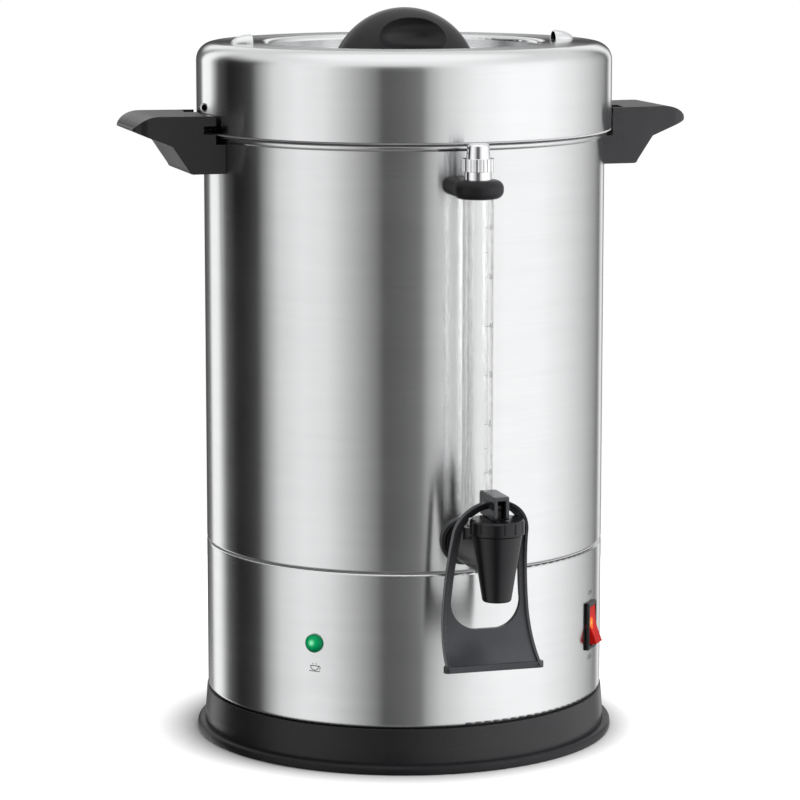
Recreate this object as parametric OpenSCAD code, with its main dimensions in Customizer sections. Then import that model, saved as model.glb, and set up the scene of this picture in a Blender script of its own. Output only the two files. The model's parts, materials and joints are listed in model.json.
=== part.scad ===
// Percolating coffee urn, about 9 litres: steel tank and base shell, twist-lock lid,
// loop-handled tap with sight gauge, side handles, ready light and rocker switch.
// Origin: on the tank's axis, at the surface that the urn stands on. The tap faces -Y.

/* [Tank and shell] */
// Outer radius of tank and lower shell
body_r = 125; // [118:1:132]
// Thickness of the pressed steel sheet
sheet = 0.8; // [0.6:0.1:1.0]
// Height of the seam between lower shell and tank
seam_z = 123; // [115:1:130]
// Height of the bead's middle, below the lid's skirt
bead_z = 378.8; // [365:0.1:390]
// Radius of the pressed bead
bead_r = 2.2; // [1.8:0.1:2.6]
// Height of the tank's curled rim, inside the lid
rim_z = 424; // [420:0.5:425]
// Radius of the rim's curl
curl_r = 1.5; // [1.2:0.1:1.8]
// Radius of the heater well in the tank's bottom
well_r = 30; // [26:1:32]
// Depth of the heater well
well_depth = 12; // [8:1:14]
// Thickness of the gasket in the seam
seam_gap = 0.6; // [0.4:0.1:1.0]
// Radius of the bends in the sheet
bend_r = 3; // [2:0.5:4]
// Radius of the two bends that meet at the seam
seam_bend = 1.5; // [1.2:0.1:2.5]

/* [Base] */
// Height of the black base ring's top edge
base_h = 27; // [24:0.5:32]
// Wall of the base ring
base_wall = 2.5; // [2:0.1:3]
// How far the base ring's foot stands out from the shell
base_flare = 1.8; // [1:0.1:3]
// Height of the soft foot trim
foot_h = 12.5; // [10:0.5:14]
// How far the foot trim stands out from the base ring
foot_proud = 5; // [4:0.1:6]
// Radius of the foot trim's round top
foot_round = 4.2; // [3:0.1:5]
// Thickness of the bottom plate
plate_t = 1; // [0.8:0.1:1.5]
// Height of the bottom plate's underside
plate_z = 3.5; // [3:0.1:4]
// Number of screws in the bottom plate
plate_screws = 4; // [3:1:6]

/* [Lid] */
// Height of the lid's rim
lid_top = 435; // [433:0.5:440]
// Gap between tank wall and lid skirt
skirt_gap = 3.5; // [3:0.1:4]
// Radius of the lid's outer round-over
lid_round = 11; // [8:0.5:13]
// Radius of the recess in the lid's middle
recess_r = 87; // [80:1:92]
// Depth of the recess
recess_depth = 11; // [8:0.5:12]
// Radius from the axis to the middle of a steam vent's mouth
vent_place = 98; // [96:0.5:101]
// Radius of a steam vent's mouth
vent_mouth = 6; // [4:0.1:6.5]
// Length of a steam vent
vent_len = 13; // [10:0.5:16]
// Radius of the nubs pressed into the skirt
nub_mouth = 2.8; // [2:0.1:3]
// Turn that locks the lid, in degrees
lock_turn = 12; // [8:0.5:14]

/* [Knob] */
// Height of the knob's top
knob_top = 456; // [452:0.5:462]
// Radius of the knob's arched outline
knob_r = 47.6; // [44:0.2:52]
// Radius of the knob's rounded edge, half its thickness
knob_edge = 22; // [20:0.5:24]
// Width of a finger scoop's rim circle
scoop_r = 18; // [15:0.5:19]
// Height radius of a finger scoop
scoop_edge = 11; // [9:0.5:12]
// Thickness of the grip between the scoops
grip_t = 18; // [16:0.5:22]

/* [Handles] */
// Height of a handle's top face next to the lid
handle_top = 393; // [391:0.5:396]
// Height of a handle's bottom
handle_bottom = 358; // [352:0.5:361]
// Reach of a handle's tip from the axis
handle_reach = 178; // [174:1:186]
// Width of a handle
handle_w = 60; // [54:1:66]
// Radius of a handle's outer corners, seen from above
handle_corner = 9; // [5:0.5:11]
// Width of a lid tab, round the rim
tab_w = 14; // [12:0.5:16]
// Reach of a lid tab beyond the skirt
tab_reach = 8.2; // [6:0.1:9]

/* [Tap] */
// Distance from the tank wall to the nozzle's axis
tap_reach = 65.7; // [62:0.5:70]
// Height of the shank's axis
shank_z = 142.7; // [141.5:0.1:145]
// Radius of the shank
shank_r = 11.5; // [10.5:0.1:12.5]
// Radius of the bowl's top
bowl_r = 14.75; // [14.2:0.05:15.5]
// Radius of the nozzle's mouth
nozzle_r = 8.6; // [8:0.1:9.5]
// Height of the nozzle's mouth
nozzle_z = 119.5; // [117:0.5:122]
// Height of the bonnet's top
bonnet_top = 168; // [167:0.1:170]
// Height of the bonnet
bonnet_h = 8.4; // [8:0.1:9]
// Radius of the bonnet
bonnet_r = 16; // [15.6:0.1:17]
// Number of grip grooves round the bonnet
bonnet_grooves = 14; // [10:1:20]
// Turns of the valve spring
spring_turns = 7; // [5:1:8]

/* [Lever] */
// Height of the lever's top
lever_top = 182.3; // [181:0.1:184]
// Width of the lever's block
block_w = 9; // [8.4:0.1:10.5]
// Width of the slot for the stem's head
slot_w = 5.2; // [4.8:0.1:5.6]
// Half width of the loop at its arch
arch_r = 22.9; // [22:0.1:25]
// Half width of the loop at its bottom
loop_w = 29.2; // [26:0.1:31]
// Width of the loop's frame
frame_w = 4.9; // [4:0.1:5.5]
// Height of the lever's lowest edge
lever_low = 77; // [74:0.5:82]
// Height of the opening's bottom edge
window_low = 98.6; // [96:0.1:104]
// Thickness of the loop
loop_t = 3; // [2.6:0.1:3.4]
// Radius of the loop's long curve, seen from the side
loop_curve = 119; // [115:1:125]
// Radius of the paddle's curl below it
curl = 40; // [36:1:46]
// Turn of the paddle's curl, in degrees
curl_turn = 56; // [50:1:60]
// Thickness of the lip along the paddle's edge
lip_t = 3.6; // [3:0.1:4.2]

/* [Sight gauge] */
// Distance from the tank wall to the gauge's axis
gauge_reach = 27.5; // [26:0.1:30]
// Outer radius of the gauge glass
glass_r = 6.2; // [5.6:0.1:6.5]
// Outer radius of the clear guard tube
shield_r = 9.15; // [8.8:0.05:9.6]
// Height of the bracket's underside
bracket_z = 351.2; // [335:0.1:352]
// Height of the bracket
bracket_h = 11; // [10:0.5:13]
// Radius of the knurled ring on the cap
knurl_r = 9.5; // [9.2:0.1:10.2]
// Height of the gauge cap
cap_h = 16; // [14:0.5:18]

/* [Switch and light] */
// Bearing of the rocker switch from the tap, in degrees
switch_turn = 51.9; // [45:0.1:60]
// Height of the switch's middle
switch_z = 74; // [60:1:90]
// Width of the switch's bezel
bezel_w = 15; // [14:0.5:17]
// Height of the switch's bezel
bezel_h = 30; // [28:0.5:34]
// Tilt of the rocker to each side, in degrees
rocker_tilt = 12; // [9:0.5:13]
// Bearing of the ready light from the tap, in degrees
light_turn = -42.2; // [-60:0.2:-35]
// Height of the ready light
light_z = 77.7; // [60:0.1:90]
// Radius of the ready light's lens
lens_r = 5.65; // [5:0.05:6.5]

/* [Brewing parts] */
// Radius of the brew basket
basket_r = 78; // [70:1:82]
// Height of the basket's bottom
basket_z = 322; // [310:1:330]
// Height of the basket
basket_h = 76; // [60:1:80]
// Radius of the pump tube
pump_r = 7; // [6:0.1:8]
// Height of the pump tube's top
pump_top = 411; // [409:0.5:412]

/* [Hidden] */
$fn = 96;

// Clearances and small standard sizes
seat = 0.1;        // gap between pieces that are clamped together
slip = 0.3;        // gap round a piece that is pushed in
run = 0.06;        // radial gap of a running fit
snug = 0.05;       // radial gap of a piece that is held by a push fit
past = 1;          // how far a cut runs past a face
m4_r = 2;
m4_head_r = 4;
m4_head_h = 2.2;
m5_r = 2.5;
m5_head_r = 4.6;
m5_head_h = 3;
nut4_r = 4.05;     // across the corners
nut4_h = 3.2;
nut5_r = 4.6;
nut5_h = 4;

// Tank, from the bottom up
shell_in = body_r - sheet;
shell_top = seam_z - seam_gap / 2;
tank_low = seam_z + seam_gap / 2;
tank_floor = tank_low + sheet;
well_floor = tank_floor - well_depth;
well_under = well_floor - sheet;
bead_root = 0.4;             // how far the bead's arc starts inside the wall's face
flange_w = 14;               // width of the shell's two turned-in flanges
stud_place = body_r - 8.5;   // radius of the ring of tank studs
stud_count = 3;
stud_len = 9.5;
stud_turn = 30;
well_stud_len = 11;

// Base
base_r = body_r + base_flare;
foot_r = base_r + foot_proud;
foot_grip = 8;               // height and wall of the trim inside the base ring
foot_wall = 1.2;
foot_in = base_r - base_wall - foot_wall;
foot_floor = 2;              // rubber under the base ring's edge
foot_lean = 1.4;             // how far the trim's face leans in towards its top
shelf_t = 2.5;
shelf_w = flange_w;
ring_out = body_r + 0.7;     // the ring stands a little proud of the shell
boss_place = body_r - 7.5;
boss_r = 5;
plate_screw_len = 12;
shell_screw_turn = 90;
// the bosses lie midway between the places that a screw of the shell could take
screw_steps = plate_screws % stud_count == 0 ? plate_screws : plate_screws * stud_count;
boss_turn = shell_screw_turn - 540 / screw_steps;
gland_z = base_h + 23;
gland_r = 8;
gland_bore = 4.2;
gland_collar = 3;            // the collar's reach round the gland
gland_collar_t = 4;
gland_tail = 10;             // lengths inside and outside the shell
gland_nose = 9;

// Lid
skirt_in = body_r + skirt_gap;
skirt_out = skirt_in + sheet;
gasket_foot = 1;
gasket_z = bead_z + bead_r + seat;
skirt_low = gasket_z + gasket_foot + seat;
gasket_h = 9;
recess_floor = lid_top - recess_depth;
recess_under = recess_floor - sheet;
tab_t = 1.2;
dome_turn = 78;              // where a louvre's curve gives way to its flat end, in degrees
nub_len = 12;
nub_lift = 0.9;              // the nub's lowest edge above the handle
tab_z = skirt_low + 1.2;
tab_out = skirt_out + tab_reach;
tab_span = tab_w / tab_out * 180 / PI;

// Knob
scoop_z = knob_top - scoop_edge - 4.5;
knob_pilot = 15;             // depth of the screw's hole
knob_washer_r = 8;
knob_washer_t = 1;
knob_screw_len = 16;

// Handles
relief_r = skirt_out + 1.7;
relief_z = bead_z - 3;
lock_slot_low = tab_z - 1.4;
lock_slot_high = tab_z + tab_t + 2.4;
lock_slot_r = tab_out + 0.9;
channel_play = 1.2;          // play each side of the tab in its channel, in degrees
tab_turn = -(lock_turn + 3) / 2; // where a tab drops in, from the handle's middle
slot_turn = 30;              // the lock slot runs out of the handle's side here, in degrees
handle_bolt_z = handle_bottom + 8;
handle_bolt_turn = 8;
handle_bolt_len = 12;
grip_nose = 18.6;            // radius of the tip's round top, and where it ends in degrees
grip_turn = 38;
grip_lip = 7.3;              // depth of the tip's lower edge below the top
lip_edge = 1.3;
grip_crown = 0.4;            // rise of the tip above the top face
grip_back = 0.6;
grip_wall = 3;               // walls left round the hollow under the grip
foot_edge = 2.4;
foot_reach = 20;             // reach of the handle's foot, and the rise of its slope there
foot_rise = 3;
knee_x = handle_reach - 23.6; // where the grip's underside turns down
knee_drop = 18;
wall_washer_r = m4_head_r + 1.5;
wall_washer_t = 1;

// Tap, measured from the urn's axis
tap_y = -(body_r + tap_reach);
mouth_h = 0.8;                   // chamfer of the nozzle's mouth
mouth_edge = 0.6;
spigot_wall = 1.6;
groove_r = 0.8;
bowl_top = bonnet_top - bonnet_h - 0.6;
spigot_r = bowl_r - 1.1;
spigot_top = bonnet_top - 2.8;
bonnet_roof = 2.6;
stem_r = 3.92;
neck_low = bonnet_top - 0.8;     // where the round stem ends
neck_w = slot_w - 0.4;
neck_d = 6.4;
stem_head_r = 3.6;
pin_r = 1.5;
pin_z = lever_top - 7.3;
seat_z = nozzle_z + 10.5;        // height of the valve seat
outlet_r = 5.2;
flow_r = 6;                      // bore of the shank
flange_r = 13.6;
flange_t = 3;
washer_r = 14.4;
washer_t = 2.5;
inner_washer_t = 2.4;
tail_r = 9.5;
tail_len = 21;
tap_nut_r = 16;
tap_nut_t = 7;
cup_hub_top = seat_z + 11;
cup_hub_r = 6;
cup_wall = 1.2;
cup_floor = 3.5;
cup_foot_r = outlet_r + 2.3;
cup_rim_r = spigot_r - 3;
cup_rim_h = 1.4;
stem_low = seat_z + cup_floor + seat;
wire_r = 0.45;
coil_r = stem_r + wire_r + slip;

// Lever
lever_gap = 0.3;                 // gap between the lever's block and the bonnet at rest
block_front = 8.7;
block_back = 19.7;
slot_back = 5;                   // depth of the slot behind and above the pin
heel_r = 2;
lip_z = lever_low + lip_t / 2;
loop_mid_z = lip_z + curl * sin(curl_turn); // where the long curve meets the curl
loop_near = tap_y + 22.7;        // where the loop comes nearest the wall
lip_y = loop_near - curl + curl * cos(curl_turn);
lip_back = 3;                    // the lip's reach behind and before the paddle's edge
lip_front = 2.8;
lip_w = loop_w + 1.4;            // half width of the lip
lip_corner = 2.6;
arch_drop = 3;                   // drop from the lever's top to the loop's arch
arch_z = lever_top - arch_drop - 0.3 - arch_r;
bonnet_room = 0.8;
rim_w = 1.8;
rim_t = 1.2;
window_corner = 16;

// Gauge
gauge_y = -(body_r + gauge_reach);
glass_bore = glass_r - 1.4;
socket_r = glass_r + 1.9;
socket_z = shank_z + 5.5;
boss_top = shank_z + 14.3;
gauge_boss_r = shield_r + 0.85;
shield_t = 1.2;
bracket_top = bracket_z + bracket_h;
bracket_screw_z = bracket_z + bracket_h / 2;
bracket_screw_len = 8.5;
bracket_r = shield_r + 5.85;
bracket_neck = 13;
bracket_edge = 4.8;
collar_r = 8;
collar_h = 5;
glass_in = 2;                // how far the glass goes into the collar
collar_top = bracket_top + collar_h;
spigot_h = 7;
cap_thread_r = 5.6;
knurl_h = 7.4;
knurls = 24;
cap_r = 6.6;                     // radius of the cap's top, its rounding and its taper
cap_crown = 1.6;
cap_taper = 0.5;

// Switch and light
tap_bearing = -90;
switch_bearing = tap_bearing + switch_turn;
light_bearing = tap_bearing + light_turn;
bezel_t = 2;
bezel_edge = 0.6;
switch_wall = 0.8;
cavity_w = bezel_w - 3.4;
cavity_h = bezel_h - 4.8;
switch_body_w = cavity_w + 2 * switch_wall;
switch_body_h = cavity_h + 2 * switch_wall + 0.8;
switch_depth = 18;
rocker_w = cavity_w - 0.6;
rocker_half = cavity_h / 2 - 1;
rocker_pin_r = 1.2;
rocker_pin_len = switch_body_w - 0.4;
rocker_pivot = body_r + 0.5;
lens_flange = 1.2;
barrel_r = lens_r - 1.6;
lamp_r = barrel_r - 1.2;
barrel_len = 13;
dome_h = 3.2;
dome_r = (lens_r * lens_r + dome_h * dome_h) / (2 * dome_h);

// Heaters
element_in = well_r + 6;
element_out = element_in + 22;
element_r = (element_in + element_out) / 2;
element_plate = 3.5;
element_tube = 4.2;
element_span = 310;
element_drop = 9;
warmer_t = 2.8;
warmer_low = well_under - warmer_t;
clamp_t = 1.2;
clamp_low = warmer_low - clamp_t;
sensor_place = element_out + 24; // radius of the ring of thermostats and fuse
blade_w = 6.3;               // flat push-on terminals
blade_t = 0.8;
blade_len = 9;
pin_len = 7;

// Brewing parts
pump_bore = pump_r - 1.5;
foot_dome_r = well_r - 4;    // the pump's dome over the heater well
foot_dome_edge = 3;
pump_low = 11;               // height of the tube's end above the well
pump_collar = 9;
basket_wall = 0.8;
hub_r = pump_r + 1.2;
basket_flange = 5;
cover_z = basket_z + basket_h;
hub_drop = 12;               // drop from the cover to the basket's hub
cover_lip = 6;

// ---------------------------------------------------------------- helpers

// A plain ring round the Z axis
module ring(r_in, r_out, z0, z1)
    rotate_extrude() translate([r_in, z0]) square([r_out - r_in, z1 - z0]);

// A quarter ring of sheet in the revolve plane, for a bend
module bend(x, z, r_out, t, a)
    translate([x, z]) intersection() {
        difference() {
            circle(r_out);
            circle(r_out - t);
        }
        rotate(a) square(r_out + past);
    }

// Children keep X as the outward direction, at a bearing round the Z axis
module bearing(a)
    rotate([0, 0, a]) children();

// A cylinder that points outward along X, from one radius to another
module rod(r, x0, x1, z, sides = $fn)
    translate([x0, 0, z]) rotate([0, 90, 0]) cylinder(r = r, h = x1 - x0, $fn = sides);

// A polar row of children
module around(count, start)
    for (i = [0 : count - 1]) rotate([0, 0, start + i * 360 / count]) children();

// A 2D side view (Y across, Z up) pushed out along X, centred
module side_view(w)
    translate([-w / 2, 0, 0]) rotate([90, 0, 90]) linear_extrude(w) children();

// A 2D front view (X across, Z up) pushed along Y from y0 to y1
module front_view(y0, y1)
    translate([0, y1, 0]) rotate([90, 0, 0]) linear_extrude(y1 - y0) children();

// Points of an arc
function arc(x, z, r, a0, a1, n) =
    [for (i = [0 : n]) let (a = a0 + (a1 - a0) * i / n) [x + r * cos(a), z + r * sin(a)]];

// Half of a blunt dome's outline, from its open mouth along Z to its closed, slightly flat end
function dome(r, len, n) = concat([[0, 0]], arc(0, 0, 1, 0, dome_turn, n) * [[r, 0], [0, len]],
    [[0, len * sin(dome_turn)]]);

// A pressed louvre along X, on the plane Z = 0: half a blunt dome, and the hollow under it
module louvre(mouth, len) intersection() {
    rotate([0, 90, 0]) rotate_extrude() polygon(dome(mouth, len, 8));
    translate([0, -mouth, -sheet / 2]) cube([len, 2 * mouth, mouth + sheet]);
}
module louvre_hollow(mouth, len)
    translate([-0.01, 0, 0]) rotate([0, 90, 0]) rotate_extrude()
        polygon(dome(mouth - sheet, len - sheet, 8));

// ---------------------------------------------------------------- base

module foot_ring() color([0.05, 0.05, 0.055]) rotate_extrude() difference() {
    polygon(concat([[foot_in, foot_grip], [foot_in, 0], [foot_r, 0]],
        arc(foot_r - foot_round - foot_lean, foot_h - foot_round, foot_round, 0, 90, 8)));
    translate([base_r - base_wall - seat, foot_floor - seat])
        square([base_wall + 2 * seat, foot_h]);
}

module base_ring_section() {
    polygon([
        [base_r - base_wall, foot_floor], [base_r, foot_floor], [base_r, foot_h], [ring_out, base_h],
        [ring_out - base_wall, base_h], [base_r - base_wall, foot_h]]);
    // shelf that carries the steel shell
    translate([body_r - shelf_w, base_h - shelf_t]) square([shelf_w, shelf_t]);
}

module base_ring() color([0.06, 0.06, 0.065]) difference() {
    union() {
        rotate_extrude() base_ring_section();
        around(plate_screws, boss_turn) {
            translate([boss_place, 0, plate_z + plate_t])
                cylinder(r = boss_r, h = base_h - shelf_t - plate_z - plate_t + 0.5);
            translate([boss_place, -base_wall / 2, foot_h])
                cube([ring_out - base_wall / 2 - boss_place, base_wall, base_h - shelf_t - foot_h + 0.5]);
        }
    }
    around(plate_screws, boss_turn) translate([boss_place, 0, plate_z])
        cylinder(r = m4_r + run, h = plate_screw_len + 2 * past);
    around(stud_count, shell_screw_turn) translate([boss_place, 0, base_h - shelf_t - past])
        cylinder(r = m4_r + slip, h = shelf_t + 2 * past);
}

module base_plate() color([0.55, 0.56, 0.57]) difference() {
    slot_r = 2;
    slot_in = body_r / 2;
    slot_len = 24;
    translate([0, 0, plate_z]) cylinder(r = foot_in - slip, h = plate_t);
    around(plate_screws, boss_turn) translate([boss_place, 0, plate_z - past])
        cylinder(r = m4_r + slip, h = plate_t + 2 * past);
    // air slots
    around(12, 15) {
        translate([slot_in, -slot_r, plate_z - past]) cube([slot_len, 2 * slot_r, plate_t + 2 * past]);
        for (x = [slot_in, slot_in + slot_len])
            translate([x, 0, plate_z - past]) cylinder(r = slot_r, h = plate_t + 2 * past);
    }
}

// A pan-head screw that points up, its head's top face at z
module screw_up(z, len, r, head_r, head_h) {
    translate([0, 0, z - head_h]) cylinder(r1 = head_r * 0.8, r2 = head_r, h = head_h * 0.4);
    translate([0, 0, z - head_h * 0.6]) cylinder(r = head_r, h = head_h * 0.6);
    translate([0, 0, z - 0.01]) cylinder(r = r, h = len);
}

module base_screws() color([0.6, 0.6, 0.62]) around(plate_screws, boss_turn)
    translate([boss_place, 0, 0]) screw_up(plate_z, plate_screw_len, m4_r, m4_head_r, m4_head_h);

module lower_shell() color([0.72, 0.73, 0.74]) difference() {
    rotate_extrude() {
        translate([shell_in, base_h + bend_r]) square([sheet, shell_top - base_h - bend_r - seam_bend]);
        bend(body_r - bend_r, base_h + bend_r, bend_r, sheet, -90);
        bend(body_r - seam_bend, shell_top - seam_bend, seam_bend, sheet, 0);
        translate([body_r - flange_w, base_h]) square([flange_w - bend_r, sheet]);
        translate([body_r - flange_w, shell_top - sheet]) square([flange_w - seam_bend, sheet]);
    }
    around(stud_count, stud_turn) translate([stud_place, 0, shell_top - sheet - past])
        cylinder(r = m4_r + slip, h = sheet + 2 * past);
    around(stud_count, shell_screw_turn) translate([boss_place, 0, base_h - past])
        cylinder(r = m4_r + slip, h = sheet + 2 * past);
    bearing(90) rod(gland_r + slip, shell_in - past, body_r + past, gland_z);
    bearing(light_bearing) rod(barrel_r + slip, shell_in - past, body_r + past, light_z);
    bearing(switch_bearing)
        translate([shell_in - 4, -switch_body_w / 2 - slip, switch_z - switch_body_h / 2 - slip])
            cube([4 + sheet + past, switch_body_w + 2 * slip, switch_body_h + 2 * slip]);
}

module shell_screws() color([0.6, 0.6, 0.62]) around(stud_count, shell_screw_turn)
    translate([boss_place, 0, 0])
        screw_up(base_h - shelf_t, shelf_t + sheet + nut4_h + 1, m4_r, m4_head_r, m4_head_h);

module shell_nuts() color([0.6, 0.6, 0.62]) around(stud_count, shell_screw_turn)
    translate([boss_place, 0, base_h + sheet]) nut(nut4_r, nut4_h, m4_r);

module nut(r, h, hole) difference() {
    cylinder(r = r, h = h, $fn = 6);
    translate([0, 0, -past]) cylinder(r = hole + run, h = h + 2 * past);
}

module seam_gasket() color([0.08, 0.08, 0.085]) difference() {
    ring(body_r - flange_w, body_r - seam_gap, shell_top, tank_low);
    around(stud_count, stud_turn) translate([stud_place, 0, shell_top - past])
        cylinder(r = m4_r + slip, h = seam_gap + 2 * past);
}

// ---------------------------------------------------------------- tank

module tank_section() {
    // floor, heater well and bottom corner
    translate([well_r + bend_r, tank_low]) square([body_r - well_r - bend_r - seam_bend, sheet]);
    bend(body_r - seam_bend, tank_low + seam_bend, seam_bend, sheet, -90);
    bend(well_r + bend_r, tank_floor - bend_r, bend_r, sheet, 90);
    translate([well_r, well_under + bend_r])
        square([sheet, well_depth + sheet - 2 * bend_r]);
    bend(well_r + sheet - bend_r, well_under + bend_r, bend_r, sheet, -90);
    translate([0, well_under]) square([well_r + sheet - bend_r, sheet]);
    // wall, bead and curled rim
    translate([shell_in, tank_low + seam_bend])
        square([sheet, bead_z - bead_r - tank_low - seam_bend + bead_root]);
    bend(body_r - bead_root, bead_z, bead_r, sheet, -90);
    bend(body_r - bead_root, bead_z, bead_r, sheet, 0);
    translate([shell_in, bead_z + bead_r - bead_root])
        square([sheet, rim_z - curl_r - bead_z - bead_r + bead_root]);
    translate([body_r - curl_r, rim_z - curl_r]) circle(curl_r);
}

module tank() color([0.76, 0.77, 0.78]) difference() {
    union() {
        rotate_extrude() tank_section();
        around(stud_count, stud_turn) translate([stud_place, 0, tank_low - stud_len])
            cylinder(r = m4_r, h = stud_len + sheet / 2);
        translate([0, 0, well_under - well_stud_len]) cylinder(r = m5_r, h = well_stud_len + sheet / 2);
    }
    bearing(tap_bearing) rod(tail_r + slip, shell_in - 2 * past, body_r + past, shank_z);
    bearing(tap_bearing) rod(m4_r + slip, shell_in - past, body_r + past, bracket_screw_z);
    for (side = [0, 180], a = [-handle_bolt_turn, handle_bolt_turn]) bearing(side + a)
        rod(m4_r + slip, shell_in - past, body_r + past, handle_bolt_z);
}

module stud_nuts() color([0.6, 0.6, 0.62]) around(stud_count, stud_turn)
    translate([stud_place, 0, shell_top - sheet - nut4_h]) nut(nut4_r, nut4_h, m4_r);

// A ring-shaped heater under a plate, its ends bent down to two flat terminals
module heating_element() color([0.66, 0.67, 0.68]) {
    cold_pin_r = 1.6;
    tube_z = tank_low - element_plate - element_tube + 1;
    ring(element_in, element_out, tank_low - element_plate, tank_low);
    rotate_extrude(angle = element_span) translate([element_r, tube_z]) circle(element_tube);
    for (a = [0, element_span]) rotate([0, 0, a]) translate([element_r, 0, tube_z]) {
        sphere(element_tube + 0.15);
        translate([0, 0, -element_drop]) cylinder(r = element_tube - 0.3, h = element_drop);
        translate([0, 0, -element_drop - pin_len]) cylinder(r = cold_pin_r, h = pin_len + past);
        translate([-blade_w / 2, -blade_t / 2, -element_drop - pin_len - blade_len + past])
            cube([blade_w, blade_t, blade_len]);
    }
}

module warming_element() color([0.78, 0.74, 0.66]) difference() {
    translate([0, 0, warmer_low]) cylinder(r = well_r - 5, h = warmer_t);
    translate([0, 0, warmer_low - past]) cylinder(r = m5_r + slip, h = warmer_t + 2 * past);
}

// A disc that presses the warmer up, with two flat terminals
module element_clamp() color([0.6, 0.6, 0.62]) difference() {
    union() {
        translate([0, 0, clamp_low]) cylinder(r = well_r - 4, h = clamp_t);
        for (a = [60, 240]) rotate([0, 0, a])
            translate([well_r - 9, -blade_w / 2, clamp_low - blade_len + past])
                cube([blade_t, blade_w, blade_len]);
    }
    translate([0, 0, clamp_low - past]) cylinder(r = m5_r + slip, h = clamp_t + 2 * past);
}

module element_nut() color([0.6, 0.6, 0.62])
    translate([0, 0, clamp_low - nut5_h]) nut(nut5_r, nut5_h, m5_r);

// Snap-disc thermostats: a body under a flat cap that touches the tank, with two ears
module thermostats() color([0.3, 0.3, 0.32]) {
    disc_r = 7.6;
    disc_h = 7.5;
    cap_t = 4;
    ear_len = 24;
    for (a = [40, 220]) rotate([0, 0, a]) translate([sensor_place, 0, tank_low - disc_h - cap_t]) {
        cylinder(r = disc_r, h = disc_h + past);
        translate([0, 0, disc_h]) cylinder(r = disc_r + 0.4, h = cap_t);
        translate([-ear_len / 2, -disc_r * 0.6, disc_h]) cube([ear_len, disc_r * 1.2, blade_t]);
        for (y = [-1, 1] * disc_r / 2)
            translate([-blade_w / 2, y - blade_t / 2, past - blade_len]) cube([blade_w, blade_t, blade_len]);
    }
}

// A one-shot fuse in a clip against the tank
module thermal_fuse() color([0.85, 0.85, 0.86]) rotate([0, 0, 130])
    translate([sensor_place, 0, tank_low - seat]) {
        case_r = 2;
        case_len = 12;
        lead_len = 36;
        translate([0, case_len / 2, -case_r]) rotate([90, 0, 0]) cylinder(r = case_r, h = case_len);
        translate([0, lead_len / 2, -case_r]) rotate([90, 0, 0]) cylinder(r = 0.6, h = lead_len);
        translate([-case_len / 2, -1.5, -1]) cube([case_len, 3, 1]);
    }

module terminal_block() color([0.85, 0.84, 0.8])
    translate([0, body_r * 0.6, plate_z + plate_t]) difference() {
        block_size = [36, 16, 14];
        wire_hole_z = 6;
        translate([-block_size[0] / 2, -block_size[1] / 2, 0]) cube(block_size);
        for (x = [-1, 0, 1] * block_size[0] / 3) {
            translate([x, block_size[1] / 2 + past, wire_hole_z]) rotate([90, 0, 0])
                cylinder(r = 2, h = block_size[1] + 2 * past);
            translate([x, 0, wire_hole_z]) cylinder(r = 2.2, h = block_size[2]);
        }
    }

// Strain relief for the supply cord, clipped into the shell at the back
module cord_gland() color([0.06, 0.06, 0.065]) bearing(90) difference() {
    tail = shell_in - gland_tail;
    nose = body_r + gland_nose;
    union() {
        rod(gland_r + gland_collar, body_r + seat, body_r + gland_collar_t, gland_z);
        rod(gland_r + gland_collar / 3, body_r + gland_collar_t - seat, nose, gland_z);
        rod(gland_r, tail, body_r + gland_collar_t, gland_z);
        rod(gland_r + gland_collar / 2, tail, shell_in - 1, gland_z);
    }
    rod(gland_bore, tail - past, nose + past, gland_z);
}

// ---------------------------------------------------------------- handles

// Side view of a handle: flat top, round nose, then a slope in to the knee and down to the foot
function handle_outline() = concat(
    [[body_r - 10, handle_bottom], [body_r - 10, handle_top]],
    arc(handle_reach - grip_back - grip_nose * cos(grip_turn), handle_top + grip_crown - grip_nose,
        grip_nose, 90, grip_turn, 8),
    arc(handle_reach - lip_edge, handle_top - grip_lip, lip_edge, 20, -70, 4),
    [[knee_x, handle_top - knee_drop], [body_r + foot_reach, handle_bottom + foot_rise]],
    arc(body_r + foot_reach - foot_rise, handle_bottom + foot_edge, foot_edge, -10, -90, 3));

module handle_plan() {
    translate([body_r - 12, -handle_w / 2])
        square([handle_reach - body_r + 12 - handle_corner, handle_w]);
    translate([body_r - 12, -handle_w / 2 + handle_corner])
        square([handle_reach - body_r + 12, handle_w - 2 * handle_corner]);
    for (side = [-1, 1])
        translate([handle_reach - handle_corner, side * (handle_w / 2 - handle_corner)])
            circle(handle_corner);
}

// A ring sector for the lid's tab to drop into or to turn in
module tab_path(a0, a1, z0, z1)
    rotate([0, 0, a0]) rotate_extrude(angle = a1 - a0)
        translate([body_r - past, z0]) square([lock_slot_r - body_r + past, z1 - z0]);

// The hollow under the grip, open below, between the knee and the tip
module grip_core() difference() {
    translate([knee_x + grip_wall, -handle_w / 2 + grip_wall, handle_bottom])
        cube([handle_reach - knee_x - 3 * grip_wall, handle_w - 2 * grip_wall,
            handle_top - handle_bottom - 2 * grip_wall]);
    for (y = [-1, 1] * handle_w / 6) translate([knee_x, y - grip_wall / 4, handle_bottom - past])
        cube([handle_reach - knee_x, grip_wall / 2, handle_top - handle_bottom]);
}

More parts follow.
